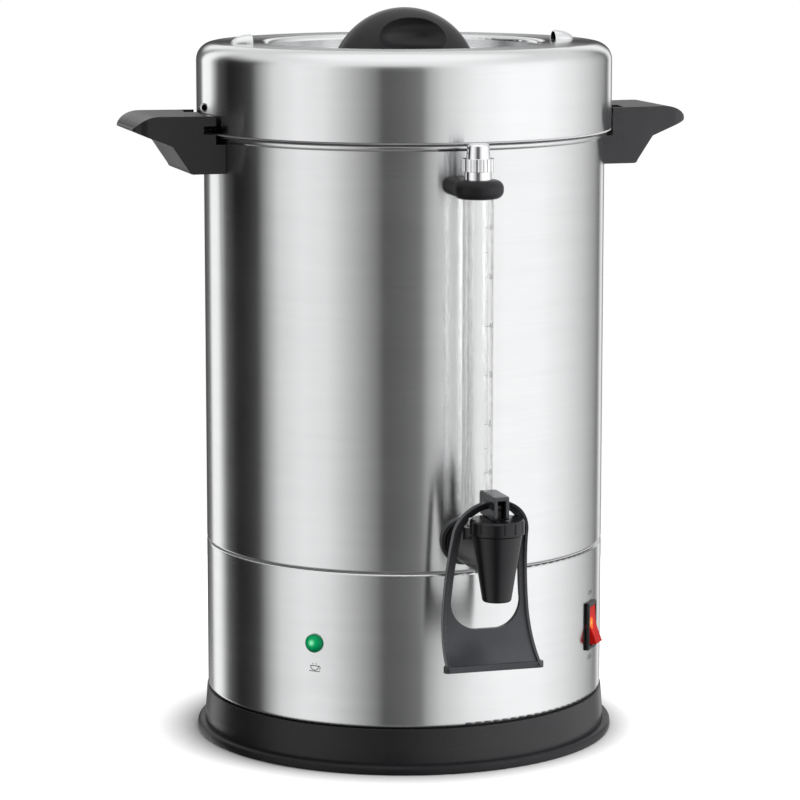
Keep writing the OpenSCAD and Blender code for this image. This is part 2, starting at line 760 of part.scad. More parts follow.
module handle() color([0.07, 0.07, 0.075]) difference() {
    intersection() {
        translate([0, handle_w / 2, 0]) rotate([90, 0, 0])
            linear_extrude(handle_w) polygon(handle_outline());
        translate([0, 0, handle_bottom - past])
            linear_extrude(handle_top - handle_bottom + 10) handle_plan();
    }
    translate([0, 0, handle_bottom - past]) cylinder(r = body_r + seat, h = handle_top - handle_bottom + 10);
    translate([0, 0, relief_z]) cylinder(r = relief_r, h = handle_top - relief_z + 10);
    grip_core();
    tab_path(tab_turn - tab_span / 2 - channel_play, tab_turn + tab_span / 2 + channel_play,
        lock_slot_low, handle_top + 10);
    tab_path(tab_turn - tab_span / 2 - channel_play, slot_turn, lock_slot_low, lock_slot_high);
    for (a = [-handle_bolt_turn, handle_bolt_turn]) bearing(a)
        rod(m4_r + run, body_r - past, body_r + handle_bolt_len + past, handle_bolt_z);
}

module handle_right() handle();
module handle_left() rotate([0, 0, 180]) handle();

// Screws that point outward through the tank wall, their heads inside
module wall_screw(z, len) {
    head_x = shell_in - wall_washer_t - 2 * seat;
    rod(m4_head_r, head_x - m4_head_h, head_x, z);
    rod(m4_r, head_x - 0.01, body_r + len, z);
}

module wall_washer(z) difference() {
    rod(wall_washer_r, shell_in - wall_washer_t - seat, shell_in - seat, z);
    rod(m4_r + run, shell_in - wall_washer_t - past, shell_in + past, z);
}

module handle_screws() color([0.7, 0.7, 0.72])
    for (side = [0, 180], a = [-handle_bolt_turn, handle_bolt_turn]) bearing(side + a)
        wall_screw(handle_bolt_z, handle_bolt_len);

module handle_washers() color([0.1, 0.1, 0.11])
    for (side = [0, 180], a = [-handle_bolt_turn, handle_bolt_turn]) bearing(side + a)
        wall_washer(handle_bolt_z);

// ---------------------------------------------------------------- tap

// Children are drawn with the nozzle's axis as Z
module nozzle()
    translate([0, tap_y, 0]) children();

module tap_body() color([0.07, 0.07, 0.075]) difference() {
    union() {
        nozzle() {
            translate([0, 0, nozzle_z]) cylinder(r1 = nozzle_r - mouth_edge, r2 = nozzle_r, h = mouth_h);
            translate([0, 0, nozzle_z + mouth_h])
                cylinder(r1 = nozzle_r, r2 = bowl_r, h = bowl_top - nozzle_z - mouth_h);
            translate([0, 0, bowl_top]) cylinder(r = spigot_r, h = spigot_top - bowl_top);
        }
        bearing(tap_bearing) {
            rod(shank_r, body_r + washer_t, -tap_y, shank_z);
            rod(flange_r, body_r + washer_t + seat, body_r + washer_t + flange_t, shank_z);
            rod(tail_r, body_r - tail_len, body_r + washer_t + 1, shank_z);
        }
        translate([0, gauge_y, shank_z]) cylinder(r = gauge_boss_r, h = boss_top - shank_z);
    }
    nozzle() {
        translate([0, 0, seat_z])
            cylinder(r1 = nozzle_r - seat, r2 = spigot_r - spigot_wall, h = spigot_top - seat_z + 0.01);
        translate([0, 0, nozzle_z - past]) cylinder(r = outlet_r, h = seat_z - nozzle_z + 2 * past);
        translate([0, 0, nozzle_z - past]) cylinder(r = nozzle_r - spigot_wall, h = 6 + past);
    }
    bearing(tap_bearing) rod(flow_r, body_r - tail_len - past, -tap_y - bowl_r * 0.5, shank_z);
    translate([0, gauge_y, shank_z]) cylinder(r = glass_bore, h = boss_top - shank_z + past);
    translate([0, gauge_y, socket_z]) cylinder(r = socket_r, h = boss_top - socket_z + past);
}

module tap_washer_outer() color([0.05, 0.05, 0.055]) difference() {
    bearing(tap_bearing) rod(washer_r, body_r - 2, body_r + washer_t, shank_z);
    cylinder(r = body_r + seat, h = shank_z + 2 * washer_r, $fn = 720);
    bearing(tap_bearing) rod(tail_r + seat, body_r - 3, body_r + washer_t + past, shank_z);
}

module tap_washer_inner() color([0.05, 0.05, 0.055]) difference() {
    intersection() {
        bearing(tap_bearing) rod(washer_r, shell_in - inner_washer_t, shell_in + past, shank_z);
        cylinder(r = shell_in - seat, h = shank_z + 2 * washer_r, $fn = 720);
    }
    bearing(tap_bearing) rod(tail_r + seat, shell_in - inner_washer_t - past, shell_in + 2 * past, shank_z);
}

module tap_nut() color([0.75, 0.65, 0.35]) bearing(tap_bearing) difference() {
    nut_x = shell_in - inner_washer_t - seat;
    rod(tap_nut_r, nut_x - tap_nut_t, nut_x, shank_z, 6);
    rod(tail_r + run, nut_x - tap_nut_t - past, nut_x + past, shank_z);
}

module tap_bonnet() color([0.06, 0.06, 0.065]) nozzle() difference() {
    union() {
        translate([0, 0, bonnet_top - bonnet_h]) cylinder(r = bonnet_r, h = bonnet_h - 1);
        translate([0, 0, bonnet_top - 1]) cylinder(r1 = bonnet_r, r2 = bonnet_r - 0.8, h = 1);
    }
    translate([0, 0, bonnet_top - bonnet_h - past])
        cylinder(r = spigot_r + seat, h = bonnet_h + past - bonnet_roof);
    translate([0, 0, bonnet_top - bonnet_roof - past])
        cylinder(r = stem_r + run, h = bonnet_roof + 2 * past);
    around(bonnet_grooves, 10) translate([bonnet_r + groove_r / 3, 0, bonnet_top - bonnet_h + 1.4])
        cylinder(r = groove_r, h = bonnet_h);
}

module seat_cup() color([0.75, 0.3, 0.15]) nozzle() rotate_extrude() {
    polygon([
        [0, seat_z + seat], [cup_foot_r, seat_z + seat], [cup_foot_r, seat_z + cup_floor - 0.5],
        [cup_hub_r, seat_z + cup_floor + 1.5], [cup_hub_r, cup_hub_top],
        [cup_rim_r, spigot_top - cup_rim_h], [cup_rim_r, spigot_top - seat],
        [cup_rim_r - cup_wall, spigot_top - seat],
        [cup_hub_r - cup_wall + 0.4, cup_hub_top],
        [stem_r + seat, cup_hub_top], [stem_r + seat, seat_z + cup_floor], [0, seat_z + cup_floor]]);
}

// One unbroken helix: a tube swept along a rising circle
module valve_spring() color([0.8, 0.8, 0.82]) {
    steps = 16;
    sides = 6;
    low = cup_hub_top + wire_r + seat;
    high = bonnet_top - bonnet_roof - wire_r - seat;
    count = spring_turns * steps;
    points = [for (i = [0 : count], j = [0 : sides - 1])
        let (a = i * 360 / steps, b = -j * 360 / sides, r = coil_r + wire_r * cos(b))
            [r * cos(a), r * sin(a), low + (high - low) * i / count + wire_r * sin(b)]];
    walls = [for (i = [0 : count - 1], j = [0 : sides - 1])
        let (k = i * sides, n = (j + 1) % sides) each [
            [k + j, k + n, k + sides + n],
            [k + j, k + sides + n, k + sides + j]]];
    ends = [for (j = [1 : sides - 2]) each [
        [0, j + 1, j],
        [count * sides, count * sides + j, count * sides + j + 1]]];
    nozzle() polyhedron(points = points, faces = concat(walls, ends));
}

module valve_stem() color([0.85, 0.85, 0.82]) nozzle() difference() {
    union() {
        translate([0, 0, stem_low]) cylinder(r = stem_r, h = neck_low - stem_low);
        translate([-neck_w / 2, -neck_d / 2, neck_low - 0.01])
            cube([neck_w, neck_d, pin_z - neck_low]);
        translate([-neck_w / 2, 0, pin_z]) rotate([0, 90, 0]) cylinder(r = stem_head_r, h = neck_w);
    }
    translate([-neck_w, 0, pin_z]) rotate([0, 90, 0]) cylinder(r = pin_r + 0.02, h = 2 * neck_w);
}

module lever_pin() color([0.7, 0.7, 0.72]) nozzle()
    translate([-block_w / 2 - 0.1, 0, pin_z]) rotate([0, 90, 0])
        cylinder(r = pin_r, h = block_w + 0.2);

// Front view of the loop, X across and Z up, drawn smaller by an inset
module loop_outline(inset) {
    polygon([[-loop_w + inset, lever_low - 6 + inset], [loop_w - inset, lever_low - 6 + inset],
        [arch_r - inset, arch_z], [-arch_r + inset, arch_z]]);
    translate([0, arch_z]) circle(arch_r - inset);
}

module loop_window() {
    low_w = loop_w - frame_w - (loop_w - arch_r) * (window_low + window_corner - lever_low)
        / (arch_z - lever_low);
    polygon([[-low_w, window_low + window_corner], [low_w, window_low + window_corner],
        [arch_r - frame_w, arch_z], [-arch_r + frame_w, arch_z]]);
    translate([0, arch_z]) circle(arch_r - frame_w);
    for (side = [-1, 1]) translate([side * (low_w - window_corner), window_low + window_corner])
        circle(window_corner);
    translate([-low_w + window_corner, window_low])
        square([2 * (low_w - window_corner), window_corner + 1]);
}

// A ring in the side view, cut to a box that runs from its middle height up or down
module side_arc(r, near, far, z0, z1) intersection() {
    translate([loop_near - r, loop_mid_z]) difference() {
        circle(r + far, $fn = 200);
        circle(r - near, $fn = 200);
    }
    translate([loop_near - curl, z0]) square([curl + far + past, z1 - z0]);
}

// Side view of the loop: a long arc above, the paddle's curl below, Y across and Z up
module loop_side(near, far) {
    side_arc(loop_curve, near, far, loop_mid_z, lever_top - arch_drop);
    side_arc(curl, near, far, lip_z, loop_mid_z);
}

// The lip along the paddle's edge, with round ends
module lever_lip() translate([0, 0, lever_low]) linear_extrude(lip_t) {
    depth = lip_front + lip_back;
    translate([-lip_w, lip_y - lip_front + lip_corner])
        square([2 * lip_w, depth - 2 * lip_corner]);
    translate([-lip_w + lip_corner, lip_y - lip_front]) square([2 * (lip_w - lip_corner), depth]);
    for (x = [-1, 1], y = [lip_y - lip_front + lip_corner, lip_y + lip_back - lip_corner])
        translate([x * (lip_w - lip_corner), y]) circle(lip_corner);
}

module lever_block() side_view(block_w) polygon(concat(
    arc(tap_y - block_front + heel_r, bonnet_top + lever_gap + heel_r, heel_r, 270, 180, 4),
    arc(tap_y - block_front + 1, lever_top - 1, 1, 180, 90, 3),
    arc(tap_y + block_back - 3, lever_top - 3, 3, 90, 0, 4),
    [[tap_y + block_back, bonnet_top + lever_gap + 2],
    [tap_y + block_back - 2, bonnet_top + lever_gap]]));

module tap_lever() color([0.08, 0.08, 0.085]) difference() {
    union() {
        lever_block();
        lever_lip();
        intersection() {
            side_view(2 * loop_w + 2) loop_side(loop_t / 2, loop_t / 2);
            front_view(tap_y - 20, tap_y + 40) difference() {
                loop_outline(0);
                loop_window();
            }
        }
        // raised rim on the loop's front
        intersection() {
            side_view(2 * loop_w + 2) loop_side(loop_t / 2 + rim_t, 0);
            front_view(tap_y - 20, tap_y + 40) difference() {
                loop_outline(0);
                loop_outline(rim_w);
            }
        }
    }
    // room for the bonnet, slot for the stem's head and hole for the pin
    nozzle() {
        translate([0, 0, nozzle_z])
            cylinder(r = bonnet_r + bonnet_room, h = bonnet_top + lever_gap - nozzle_z);
        translate([-slot_w / 2, -block_front - past, bonnet_top - past])
            cube([slot_w, block_front + slot_back + past, pin_z + slot_back - bonnet_top + past]);
        translate([-block_w, 0, pin_z]) rotate([0, 90, 0]) cylinder(r = pin_r + run, h = 2 * block_w);
    }
}

// ---------------------------------------------------------------- sight gauge

module gauge()
    translate([0, gauge_y, 0]) children();

module gauge_seal() color([0.75, 0.3, 0.15]) gauge()
    ring(glass_r + snug, socket_r - seat, socket_z, boss_top - 0.4);

module gauge_glass() color([0.85, 0.93, 0.95, 0.5]) gauge()
    ring(glass_bore, glass_r, socket_z + seat, bracket_top + glass_in);

module gauge_shield() color([0.9, 0.95, 0.97, 0.4]) gauge()
    ring(shield_r - shield_t, shield_r, boss_top + seat, bracket_z - seat);

// Half of a flattened round section, for the bracket's revolved end
module bracket_half() {
    square([bracket_r - bracket_edge, bracket_h]);
    translate([0, bracket_edge]) square([bracket_r, bracket_h - 2 * bracket_edge]);
    for (z = [bracket_edge, bracket_h - bracket_edge])
        translate([bracket_r - bracket_edge, z]) circle(bracket_edge);
}

module bracket_bar() {
    translate([-bracket_neck, bracket_edge]) square([2 * bracket_neck, bracket_h - 2 * bracket_edge]);
    translate([-bracket_neck + bracket_edge, 0])
        square([2 * (bracket_neck - bracket_edge), bracket_h]);
    for (x = [-1, 1], z = [bracket_edge, bracket_h - bracket_edge])
        translate([x * (bracket_neck - bracket_edge), z]) circle(bracket_edge);
}

module gauge_bracket() color([0.06, 0.06, 0.065]) difference() {
    union() {
        translate([0, gauge_y, bracket_z]) rotate_extrude() bracket_half();
        translate([0, 0, bracket_z]) front_view(gauge_y, -body_r + 4) bracket_bar();
    }
    translate([0, 0, bracket_z - past]) cylinder(r = body_r + seat, h = bracket_h + 2 * past);
    gauge() translate([0, 0, bracket_z - past]) cylinder(r = glass_r + snug, h = bracket_h + 2 * past);
    bearing(tap_bearing) rod(m4_r + run, body_r - past, body_r + bracket_screw_len + 0.5, bracket_screw_z);
}

module bracket_screw() color([0.7, 0.7, 0.72]) bearing(tap_bearing) {
    rod(m4_head_r, shell_in - 2 * seat - m4_head_h, shell_in - 2 * seat, bracket_screw_z);
    rod(m4_r, shell_in - 3 * seat, body_r + bracket_screw_len, bracket_screw_z);
}

module gauge_collar() color([0.8, 0.8, 0.82]) gauge() difference() {
    union() {
        translate([0, 0, bracket_top]) cylinder(r = collar_r, h = collar_h);
        translate([0, 0, collar_top - 0.01]) cylinder(r = cap_thread_r, h = spigot_h);
    }
    translate([0, 0, bracket_top - past]) cylinder(r = glass_r + snug, h = glass_in + seat + past);
    translate([0, 0, bracket_top - past]) cylinder(r = glass_bore - 1, h = collar_h + spigot_h + 2 * past);
}

module gauge_cap() color([0.8, 0.8, 0.82]) gauge() difference() {
    union() {
        translate([0, 0, collar_top + seat]) cylinder(r = knurl_r, h = knurl_h);
        rotate_extrude() polygon(concat(
            [[0, collar_top + knurl_h], [cap_r + cap_taper, collar_top + knurl_h]],
            arc(cap_r - cap_crown, collar_top + cap_h - cap_crown, cap_crown, 0, 90, 6),
            [[0, collar_top + cap_h]]));
    }
    translate([0, 0, collar_top]) cylinder(r = cap_thread_r + run, h = spigot_h + 1);
    translate([0, 0, collar_top]) cylinder(r = 1.2, h = cap_h + past);
    around(knurls, 0) translate([knurl_r + 0.25, 0, collar_top - past])
        cylinder(r = 0.7, h = knurl_h + 2 * past);
}

// ---------------------------------------------------------------- light and switch

// The lens is drawn along Z, then laid outward: flange, domed front and hollow barrel
module ready_lens() color([0.1, 0.6, 0.3]) bearing(light_bearing)
    translate([body_r + seat, 0, light_z]) rotate([0, 90, 0]) difference() {
        union() {
            cylinder(r = lens_r, h = lens_flange);
            translate([0, 0, -barrel_len]) cylinder(r = barrel_r, h = barrel_len + 0.1);
            rotate_extrude() intersection() {
                translate([0, lens_flange - dome_r + dome_h]) circle(dome_r);
                translate([0, lens_flange - 0.05]) square([lens_r - 0.1, lens_r]);
            }
        }
        translate([0, 0, -barrel_len - past]) cylinder(r = lamp_r + 0.2, h = barrel_len);
    }

module ready_lamp() color([0.9, 0.85, 0.8]) bearing(light_bearing) {
    rod(lamp_r, shell_in - 14, body_r - 3, light_z);
    for (y = [-1.2, 1.2]) translate([0, y, 0]) rod(0.4, shell_in - 24, shell_in - 13, light_z);
}

module ready_nut() color([0.1, 0.1, 0.11]) bearing(light_bearing) difference() {
    rod(barrel_r + 3, shell_in - 4.2, shell_in - 0.4, light_z, 6);
    rod(barrel_r + run, shell_in - 6, shell_in + past, light_z);
}

// A box with X outward, centred on Y and on the switch's height
module switch_box(x0, x1, w, h)
    translate([x0, -w / 2, switch_z - h / 2]) cube([x1 - x0, w, h]);

module switch_housing() color([0.06, 0.06, 0.065]) bearing(switch_bearing) difference() {
    union() {
        switch_box(body_r + seat, body_r + bezel_t - bezel_edge, bezel_w, bezel_h);
        switch_box(body_r + seat, body_r + bezel_t, bezel_w - 2 * bezel_edge, bezel_h - 2 * bezel_edge);
        switch_box(body_r - switch_depth, body_r + 1, switch_body_w, switch_body_h);
    }
    switch_box(body_r - 9, body_r + bezel_t + past, cavity_w, cavity_h);
    translate([rocker_pivot, 0, switch_z]) rotate([90, 0, 0])
        translate([0, 0, -rocker_pin_len / 2 - slip])
            cylinder(r = rocker_pin_r + run, h = rocker_pin_len + 2 * slip);
}

module switch_terminals() color([0.75, 0.68, 0.4]) bearing(switch_bearing)
    for (z = [-9, 0, 9]) translate([body_r - switch_depth - 8, -2.4, switch_z + z - 0.4])
        cube([8 - seat, 4.8, 0.8]);

// The rocker is drawn level, then tipped with its top pressed in
module switch_rocker() color([0.75, 0.08, 0.04]) bearing(switch_bearing)
    translate([rocker_pivot, 0, switch_z]) rotate([0, -rocker_tilt, 0]) {
        translate([0, rocker_w / 2, 0]) rotate([90, 0, 0]) linear_extrude(rocker_w)
            polygon([[3.5, rocker_half], [1.7, 0], [3.5, -rocker_half], [0, -rocker_half],
                [-4.5, -rocker_half * 0.6], [-4.5, rocker_half * 0.6], [0, rocker_half]]);
        rotate([90, 0, 0]) translate([0, 0, -rocker_pin_len / 2])
            cylinder(r = rocker_pin_r, h = rocker_pin_len);
    }

// ---------------------------------------------------------------- brewing parts

// The pump's dome over the heater well, with a collar for the tube and slots under its edge
module pump_foot() color([0.7, 0.71, 0.72]) difference() {
    rotate_extrude() translate([0, well_floor]) polygon([
        [foot_dome_r - 1, 0], [foot_dome_r, 0], [foot_dome_r, foot_dome_edge],
        [pump_r + 3, pump_low + 1], [pump_r + 3, pump_low + pump_collar],
        [pump_r + snug, pump_low + pump_collar], [pump_r + snug, pump_low - 1],
        [foot_dome_r - 2, foot_dome_edge - 0.6]]);
    around(6, 0) translate([foot_dome_r - 4, -2, well_floor - past]) cube([8, 4, foot_dome_edge]);
}

module pump_tube() color([0.72, 0.73, 0.74]) {
    ring(pump_bore, pump_r, well_floor + pump_low, pump_top);
    ring(pump_r - 0.1, pump_r + 4, basket_z - 2.5, basket_z);
}

module brew_basket() color([0.7, 0.71, 0.72]) difference() {
    rotate_extrude() {
        translate([pump_r + 0.4, basket_z]) square([basket_r - pump_r - 0.4, basket_wall]);
        translate([pump_r + 0.4, basket_z]) square([hub_r - pump_r - 0.4, basket_h - hub_drop]);
        translate([basket_r - basket_wall, basket_z]) square([basket_wall, basket_h]);
        translate([basket_r - 0.1, cover_z - basket_wall]) square([basket_flange, basket_wall]);
    }
    for (k = [1 : 3]) around(6 + 6 * k, 0)
        translate([basket_r * k / 4, 0, basket_z - past])
            cylinder(r = 1.6, h = basket_wall + 2 * past, $fn = 24);
}

module basket_cover() color([0.72, 0.73, 0.74]) difference() {
    rotate_extrude() {
        translate([pump_r + 0.4, cover_z]) square([basket_r + basket_flange - pump_r - 0.6, basket_wall]);
        translate([basket_r - 3 * basket_wall, cover_z - cover_lip]) square([basket_wall, cover_lip + 0.1]);
        translate([pump_r + 0.4, cover_z]) square([basket_wall, cover_lip]);
    }
    for (k = [1 : 2]) around(6 + 6 * k, 15)
        translate([basket_r * k / 3, 0, cover_z - past])
            cylinder(r = 2, h = basket_wall + 2 * past, $fn = 24);
}

// ---------------------------------------------------------------- lid

module lid_gasket() color([0.08, 0.08, 0.085]) rotate_extrude() {
    translate([body_r + slip, gasket_z]) square([skirt_out - body_r - slip - 0.3, gasket_foot]);
    translate([body_r + slip, gasket_z]) square([skirt_gap - slip - seat, gasket_h]);
}

module lid_section() {
    translate([skirt_in, skirt_low]) square([sheet, lid_top - lid_round - skirt_low]);
    bend(skirt_out - lid_round, lid_top - lid_round, lid_round, sheet, 0);
    translate([recess_r + bend_r, lid_top - sheet])
        square([skirt_out - lid_round - recess_r - bend_r, sheet]);
    bend(recess_r + bend_r, lid_top - bend_r, bend_r, sheet, 90);
    translate([recess_r, recess_floor + bend_r]) square([sheet, recess_depth - 2 * bend_r]);
    bend(recess_r - bend_r, recess_floor + bend_r, bend_r + sheet, sheet, -90);
    translate([0, recess_under]) square([recess_r - bend_r, sheet]);
}

// A vent's place on the rim, its mouth towards the knob
module vent_site() for (a = [0, 180])
    bearing(a) translate([vent_place, 0, lid_top - sheet / 2]) children();

// A nub's place on the skirt, above a handle, its mouth along the rim
module nub_site() for (a = [0, 180])
    bearing(a) translate([skirt_out - sheet / 2, nub_len / 2, handle_top + nub_mouth + nub_lift])
        rotate([0, 90, 0]) rotate([0, 0, -90]) children();

module lid_shell() color([0.78, 0.79, 0.8]) difference() {
    union() {
        rotate_extrude() lid_section();
        vent_site() louvre(vent_mouth, vent_len);
        nub_site() louvre(nub_mouth, nub_len);
        // tabs that lock under the handles
        for (a = [0, 180]) rotate([0, 0, a + tab_turn - tab_span / 2]) rotate_extrude(angle = tab_span)
            translate([skirt_in, tab_z]) square([tab_out - skirt_in, tab_t]);
    }
    vent_site() louvre_hollow(vent_mouth, vent_len);
    nub_site() louvre_hollow(nub_mouth, nub_len);
    translate([0, 0, recess_under - past]) cylinder(r = m5_r + slip, h = sheet + 2 * past);
}

module lid_knob() color([0.06, 0.06, 0.065]) difference() {
    intersection() {
        translate([0, 0, knob_top - knob_r]) rotate([90, 0, 0]) rotate_extrude() {
            intersection() {
                translate([knob_r - knob_edge, 0]) circle(knob_edge);
                translate([knob_r - knob_edge, -knob_edge]) square([knob_edge + 1, 2 * knob_edge]);
            }
            translate([0, -knob_edge]) square([knob_r - knob_edge, 2 * knob_edge]);
        }
        translate([-knob_r, -knob_r, recess_floor]) cube([2 * knob_r, 2 * knob_r, 2 * knob_r]);
    }
    for (side = [-1, 1]) translate([0, side * (grip_t / 2 + scoop_r + scoop_edge), scoop_z])
        rotate_extrude() {
            intersection() {
                translate([scoop_r, 0]) circle(scoop_edge);
                translate([scoop_r, -scoop_edge]) square([scoop_edge + 1, 2 * scoop_edge]);
            }
            translate([0, -scoop_edge]) square([scoop_r, 2 * scoop_edge]);
        }
    translate([0, 0, recess_floor - past]) cylinder(r = m5_r + run, h = knob_pilot + past);
}

module knob_washer() color([0.7, 0.7, 0.72]) difference() {
    translate([0, 0, recess_under - knob_washer_t - seat]) cylinder(r = knob_washer_r, h = knob_washer_t);
    translate([0, 0, recess_under - knob_washer_t - past])
        cylinder(r = m5_r + run, h = knob_washer_t + 2 * past);
}

module knob_screw() color([0.7, 0.7, 0.72])
    screw_up(recess_under - knob_washer_t - 2 * seat, knob_screw_len, m5_r, m5_head_r, m5_head_h);

// ---------------------------------------------------------------- what is drawn

foot_ring();
base_ring();
base_plate();
base_screws();
lower_shell();
shell_screws();
shell_nuts();
seam_gasket();
tank();
stud_nuts();
heating_element();
warming_element();
element_clamp();
element_nut();
thermostats();
thermal_fuse();
terminal_block();
cord_gland();
handle_left();
handle_right();
handle_screws();
handle_washers();
tap_body();
tap_washer_outer();
tap_washer_inner();
tap_nut();
tap_bonnet();
seat_cup();
valve_spring();
valve_stem();
lever_pin();
tap_lever();
gauge_seal();
gauge_glass();
gauge_shield();
gauge_bracket();
bracket_screw();
gauge_collar();
gauge_cap();
ready_lens();
ready_lamp();
ready_nut();
switch_housing();
switch_terminals();
switch_rocker();
pump_foot();
pump_tube();
brew_basket();
basket_cover();
lid_gasket();
lid_shell();
lid_knob();
knob_washer();
knob_screw();
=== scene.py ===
"""Looks of the coffee urn: finishes, prints, the pieces that its solids lack, studio and camera."""
import json
import math

import bmesh
import bpy
from mathutils import Matrix, Vector


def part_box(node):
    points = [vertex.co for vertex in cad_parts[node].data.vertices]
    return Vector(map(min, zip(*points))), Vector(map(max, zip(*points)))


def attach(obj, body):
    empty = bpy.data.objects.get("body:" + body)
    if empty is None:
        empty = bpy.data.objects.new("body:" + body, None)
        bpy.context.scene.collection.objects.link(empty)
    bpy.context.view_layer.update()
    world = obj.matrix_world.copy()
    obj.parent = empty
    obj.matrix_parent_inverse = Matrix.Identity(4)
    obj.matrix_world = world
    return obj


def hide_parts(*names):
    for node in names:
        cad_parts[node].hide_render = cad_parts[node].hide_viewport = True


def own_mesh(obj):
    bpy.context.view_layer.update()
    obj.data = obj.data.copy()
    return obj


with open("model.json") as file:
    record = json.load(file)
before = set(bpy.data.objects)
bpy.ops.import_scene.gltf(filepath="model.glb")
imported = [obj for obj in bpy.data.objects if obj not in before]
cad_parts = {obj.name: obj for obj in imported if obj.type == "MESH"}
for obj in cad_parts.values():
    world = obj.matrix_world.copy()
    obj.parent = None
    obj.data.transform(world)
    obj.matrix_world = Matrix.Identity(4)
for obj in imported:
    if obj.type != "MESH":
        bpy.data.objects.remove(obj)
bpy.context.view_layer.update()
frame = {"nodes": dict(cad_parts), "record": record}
nodes = frame["nodes"]

MM = 0.001

# Camera: on the photograph's line of sight, left of the tap; degrees and metres, the lens in millimetres
VIEW_TURN = 16.5
VIEW_REACH = 2.125
VIEW_HEIGHT = 0.548
AIM_HEIGHT = 0.2089
AIM_SIDE = -0.0025
LENS = 153.1

# The urn's own sizes in millimetres, the tap's bearing from the X axis in degrees, and turns to its right
BODY_R = 125.0
TAP_BEARING = -90.0
GAUGE_Y = -152.5
GUARD_R = 9.15
SWITCH_TURN = 51.9
SWITCH_Z = 74.0
LIGHT_TURN = -42.2
LIGHT_Z = 77.7
SCREW_RING = 117.5

# Prints: the ink's distance from its face, the longest edge that is bent unsplit, a font's size for each
# millimetre of letter height, and the steps of an arc
INK_LIFT = 0.05
INK_EDGE = 1.2
FONT_SHARE = 1.4
ARC_STEPS = 10

# The gauge's scale
SCALE_TURN = 42.0
SCALE_LOW = 190.0
SCALE_HIGH = 335.0
SCALE_CUPS = (10, 20, 30, 40, 50, 60)
NUMBER_SIZE = 3.4
TICK_X = -4.2
TICK_LONG = 2.2
TICK_SHORT = 1.3
TICK_STROKE = 0.35

# The words at the switch
WORD_SIZE = 3.0
WORD_RISE = 20.5

# The cup sign under the ready light
SIGN_DROP = 15.3
CUP_R = 2.7
CUP_RIM_Y = 1.2
CUP_STROKE = 0.5
EAR_R = 1.1
EAR_Y = 0.2
EAR_FROM = -70.0
SAUCER_Y = -2.1
SAUCER_W = 7.4
FINE_STROKE = 0.45
STEAM_X = 1.1
STEAM_Y = 2.5
STEAM_W = 0.4
STEAM_H = 1.1

# The painted shade of the cross recesses in the bottom plate's screws
CROSS_LONG = 3.4
CROSS_WIDE = 0.7
CROSS_LIFT = 0.03

# The foot trim's section: radii, then heights
TRIM_IN = 123.1
TRIM_CHANNEL = (124.2, 126.9)
TRIM_OUT = 131.8
TRIM_FLOOR = 1.9
TRIM_LIP = 5.6
TRIM_GRIP = 8.0

# The foot trim's outer edges: height, rounding and its segments
TRIM_EDGES = ((TRIM_LIP, 2.6, 5), (0.0, 0.8, 2))
TRIM_STEPS = 160
TRIM_SHARP = 35.0

# Vertices nearer to each other than this, in millimetres, are one
MERGE = 0.001

# Studio: brightness by degrees to the right of the camera
STUDIO_ROUND = [
    (-180, 0.06), (-161, 0.10), (-151, 0.2), (-147, 1.25), (-135, 1.2), (-129, 0.5), (-124, 0.1),
    (-112, 0.012), (-100, 0.035), (-92, 0.08), (-87, 0.38), (-76, 0.95), (-60, 1.16), (-45, 1.06),
    (-30, 0.66), (-13.5, 0.2), (-12, 0.1), (0, 0.14), (10, 0.22), (13, 0.48), (22, 0.86),
    (40, 1.22), (60, 1.38), (85, 1.36), (105, 1.12), (125, 0.78), (143, 0.42),
    (151, 0.15), (160, 1.1), (164, 0.8), (169, 0.1), (180, 0.06)]
STUDIO_CEILING = [(-180, 0.85), (-108, 0.95), (-54, 1.1), (54, 1.1), (108, 0.95), (180, 0.85)]

# Plain brightness straight above, towards the floor, and of the rear wall's upper and lower parts
STUDIO_TOP = 1.3
STUDIO_LOW = 0.25
STUDIO_REAR = 1.1

# Where one zone of the studio gives way to the next, by height from -1 (below) to 1 (above)
ZENITH = (0.75, 0.92)
CORNICE = (0.3, 0.6)
SKIRTING = (-0.75, -0.45)
REAR_ABOVE = (0.13, 0.24)
REAR_BELOW = (-0.22, -0.3)

# How far round from the camera the rear starts, as a share of a whole turn
REAR_SIDE = (0.42, 0.45)

# Floor, in metres: its size and paper, how far the contact shadow reaches, how open the paper lies where
# its glow starts and where it is full, and that glow
FLOOR_R = 0.55
FLOOR_SIDES = 96
FLOOR_GREY = 0.28
SHADOW_REACH = 0.045
SHADOW_RANGE = (0.6, 0.98)
FLOOR_GLOW = 0.9

# Lamps, a large one over the urn and a near one at its right: name, width, watts, place and aim
LAMPS = [("overhead", 1.2, 9.0, (0.35, -0.6, 1.7), (0.0, 0.0, 0.25)),
         ("right", 0.4, 10.0, (0.55, -0.5, 0.35), (0.08, 0.0, 0.22))]


# ------------------------------------------------------------------ node trees

def feed(tree, socket, value):
    """Links an output socket to an input, or sets the input's own value."""
    if isinstance(value, bpy.types.NodeSocket):
        tree.links.new(value, socket)
    else:
        socket.default_value = value


def opaque(colour):
    """A grey level or a plain colour with its alpha; an output socket stays as it is."""
    if isinstance(colour, bpy.types.NodeSocket):
        return colour
    if isinstance(colour, (int, float)):
        return (colour, colour, colour, 1.0)
    return (*colour, 1.0)


def scaled(colour, share):
    return [level * share for level in colour]


def add(tree, kind, inputs=None, **settings):
    """A new node; inputs are values or output sockets, by name or place."""
    made = tree.nodes.new(kind)
    for key, value in settings.items():
        setattr(made, key, value)
    for key, value in (inputs or {}).items():
        feed(tree, made.inputs[key], value)
    return made


def math_node(tree, operation, first, second=0.5):
    return add(tree, "ShaderNodeMath", {0: first, 1: second}, operation=operation).outputs[0]


